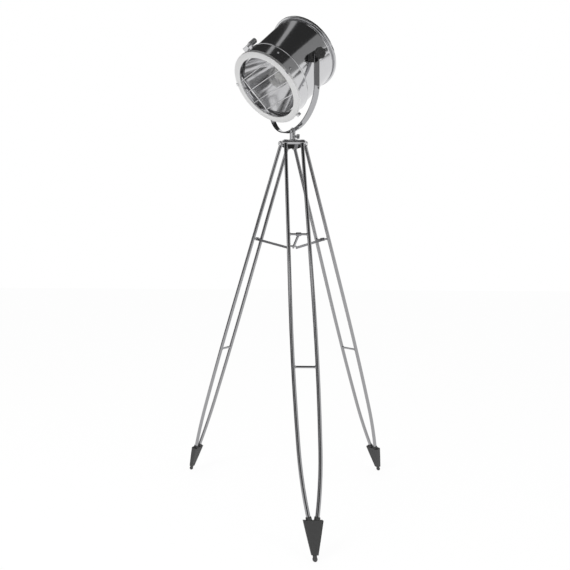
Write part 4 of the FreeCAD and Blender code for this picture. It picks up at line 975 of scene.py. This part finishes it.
def card(name, centre, normal, width, height, shade):
    """Dark studio card that only reflections see."""
    place = facing(centre, normal)
    mesh = bpy.data.meshes.new(name)
    corners = [(0, -width / 2, -height / 2), (0, width / 2, -height / 2), (0, width / 2, height / 2),
               (0, -width / 2, height / 2)]
    mesh.from_pydata([place @ Vector(corner) for corner in corners], [], [(0, 1, 2, 3)])
    made = bpy.data.objects.new(name, mesh)
    bpy.context.scene.collection.objects.link(made)
    material = bpy.data.materials.new(name + "_paint")
    material.use_nodes = True
    tree = material.node_tree
    tree.nodes.remove(tree.nodes["Principled BSDF"])
    glow = node(tree, "ShaderNodeEmission", Strength=1.0)
    glow.inputs["Color"].default_value = (shade, shade, shade, 1)
    tree.links.new(glow.outputs["Emission"], tree.nodes["Material Output"].inputs["Surface"])
    mesh.materials.append(material)
    made.visible_camera = False
    made.visible_diffuse = False
    made.visible_transmission = False
    made.visible_shadow = False
    return made


def seen_directly(tree):
    """1 for rays from the camera, from reflections and through glass."""
    path = tree.nodes.new("ShaderNodeLightPath")
    result = path.outputs["Is Camera Ray"]
    for label in ("Is Glossy Ray", "Is Transmission Ray"):
        larger = node(tree, "ShaderNodeMath", operation="MAXIMUM")
        tree.links.new(result, larger.inputs[0])
        tree.links.new(path.outputs[label], larger.inputs[1])
        result = larger.outputs["Value"]
    return result


class LAMP_OT_stage(bpy.types.Operator):
    """White floor and surroundings, dark cards for the chrome to reflect, lamps and camera"""
    bl_idname = "lamp.stage"
    bl_label = "Stage"

    def execute(self, context):
        scene = context.scene
        world = bpy.data.worlds.new("studio")
        scene.world = world
        world.use_nodes = True
        tree = world.node_tree
        background = tree.nodes["Background"]
        background.inputs["Color"].default_value = (1, 1, 1, 1)
        level = node(tree, "ShaderNodeMapRange", To_Min=0.62, To_Max=1.0)
        tree.links.new(seen_directly(tree), level.inputs["Value"])
        tree.links.new(level.outputs["Result"], background.inputs["Strength"])

        floor_mesh = bpy.data.meshes.new("floor")
        far = 30.0
        floor_mesh.from_pydata([(-far, -far, 0), (far, -far, 0), (far, far, 0), (-far, far, 0)], [], [(0, 1, 2, 3)])
        floor = bpy.data.objects.new("floor", floor_mesh)
        scene.collection.objects.link(floor)
        material = bpy.data.materials.new("white_floor")
        material.use_nodes = True
        tree = material.node_tree
        paint = tree.nodes["Principled BSDF"]
        paint.inputs["Base Color"].default_value = (0.92, 0.92, 0.92, 1)
        paint.inputs["Roughness"].default_value = 0.9
        paint.inputs["Specular IOR Level"].default_value = 0.0
        glow = node(tree, "ShaderNodeEmission", Strength=1.04)
        mix = tree.nodes.new("ShaderNodeMixShader")
        share = node(tree, "ShaderNodeMath", operation="MULTIPLY")
        share.inputs[1].default_value = 0.88
        tree.links.new(seen_directly(tree), share.inputs[0])
        tree.links.new(share.outputs["Value"], mix.inputs["Fac"])
        tree.links.new(paint.outputs["BSDF"], mix.inputs[1])
        tree.links.new(glow.outputs["Emission"], mix.inputs[2])
        tree.links.new(mix.outputs["Shader"], tree.nodes["Material Output"].inputs["Surface"])
        floor_mesh.materials.append(material)

        for name, at, faces, across, up, shade in CARDS:
            card(name, at, faces, across, up, shade)
        for name, at, aim, across, up, watts in LAMPS:
            data = bpy.data.lights.new(name, "AREA")
            data.shape = "RECTANGLE"
            data.size, data.size_y = across, up
            data.energy = watts
            lamp = bpy.data.objects.new(name, data)
            scene.collection.objects.link(lamp)
            turned = (Vector(at) - Vector(aim)).to_track_quat("Z", "Y").to_matrix().to_4x4()
            lamp.matrix_world = Matrix.Translation(at) @ turned
            lamp.visible_glossy = False

        yaw, pitch, roll = (math.radians(angle) for angle in (0.324, 2.613, 0.372))
        ahead = Vector((math.sin(yaw) * math.cos(pitch), math.cos(yaw) * math.cos(pitch), math.sin(pitch)))
        right = Vector((math.cos(yaw), -math.sin(yaw), 0))
        right = right * math.cos(roll) + right.cross(ahead) * math.sin(roll)
        data = bpy.data.cameras.new("camera")
        data.lens, data.sensor_width, data.sensor_fit = 31.57, 36.0, "HORIZONTAL"
        data.shift_x, data.shift_y = 0.1053, -0.0526
        camera = bpy.data.objects.new("camera", data)
        scene.collection.objects.link(camera)
        camera.matrix_world = own_frame(right, right.cross(ahead), -ahead, Vector((-0.2410, -1.7073, 0.7179)))
        scene.camera = camera
        bpy.context.scene.camera = camera
        scene.view_settings.view_transform = "Standard"
        return {"FINISHED"}


class LAMP_PT_sidebar(bpy.types.Panel):
    """Sizes, colours and pieces of the lamp"""
    bl_idname = "LAMP_PT_sidebar"
    bl_label = "Tripod spotlight lamp"
    bl_space_type = "VIEW_3D"
    bl_region_type = "UI"
    bl_category = "Lamp"

    def draw(self, context):
        for values in (context.scene.lamp_sizes, context.scene.lamp_colours):
            for name in values.__annotations__:
                self.layout.prop(values, name)
        for operator in OPERATORS:
            self.layout.operator(operator.bl_idname)


OPERATORS = (LAMP_OT_finishes, LAMP_OT_drum, LAMP_OT_front_ring, LAMP_OT_grille, LAMP_OT_reflector, LAMP_OT_bulb,
             LAMP_OT_rear_cover, LAMP_OT_knobs, LAMP_OT_catch, LAMP_OT_small_screws, LAMP_OT_yoke, LAMP_OT_hub,
             LAMP_OT_leg_details, LAMP_OT_spider, LAMP_OT_stage)
CLASSES = (LampSizes, LampColours) + OPERATORS + (LAMP_PT_sidebar,)


def register():
    for item in CLASSES:
        bpy.utils.register_class(item)
    bpy.types.Scene.lamp_sizes = PointerProperty(type=LampSizes)
    bpy.types.Scene.lamp_colours = PointerProperty(type=LampColours)


def unregister():
    del bpy.types.Scene.lamp_colours
    del bpy.types.Scene.lamp_sizes
    for item in reversed(CLASSES):
        bpy.utils.unregister_class(item)


def main():
    register()
    for operator in OPERATORS:
        group_name, name = operator.bl_idname.split(".")
        getattr(getattr(bpy.ops, group_name), name)()


if __name__ == "__main__":
    main()
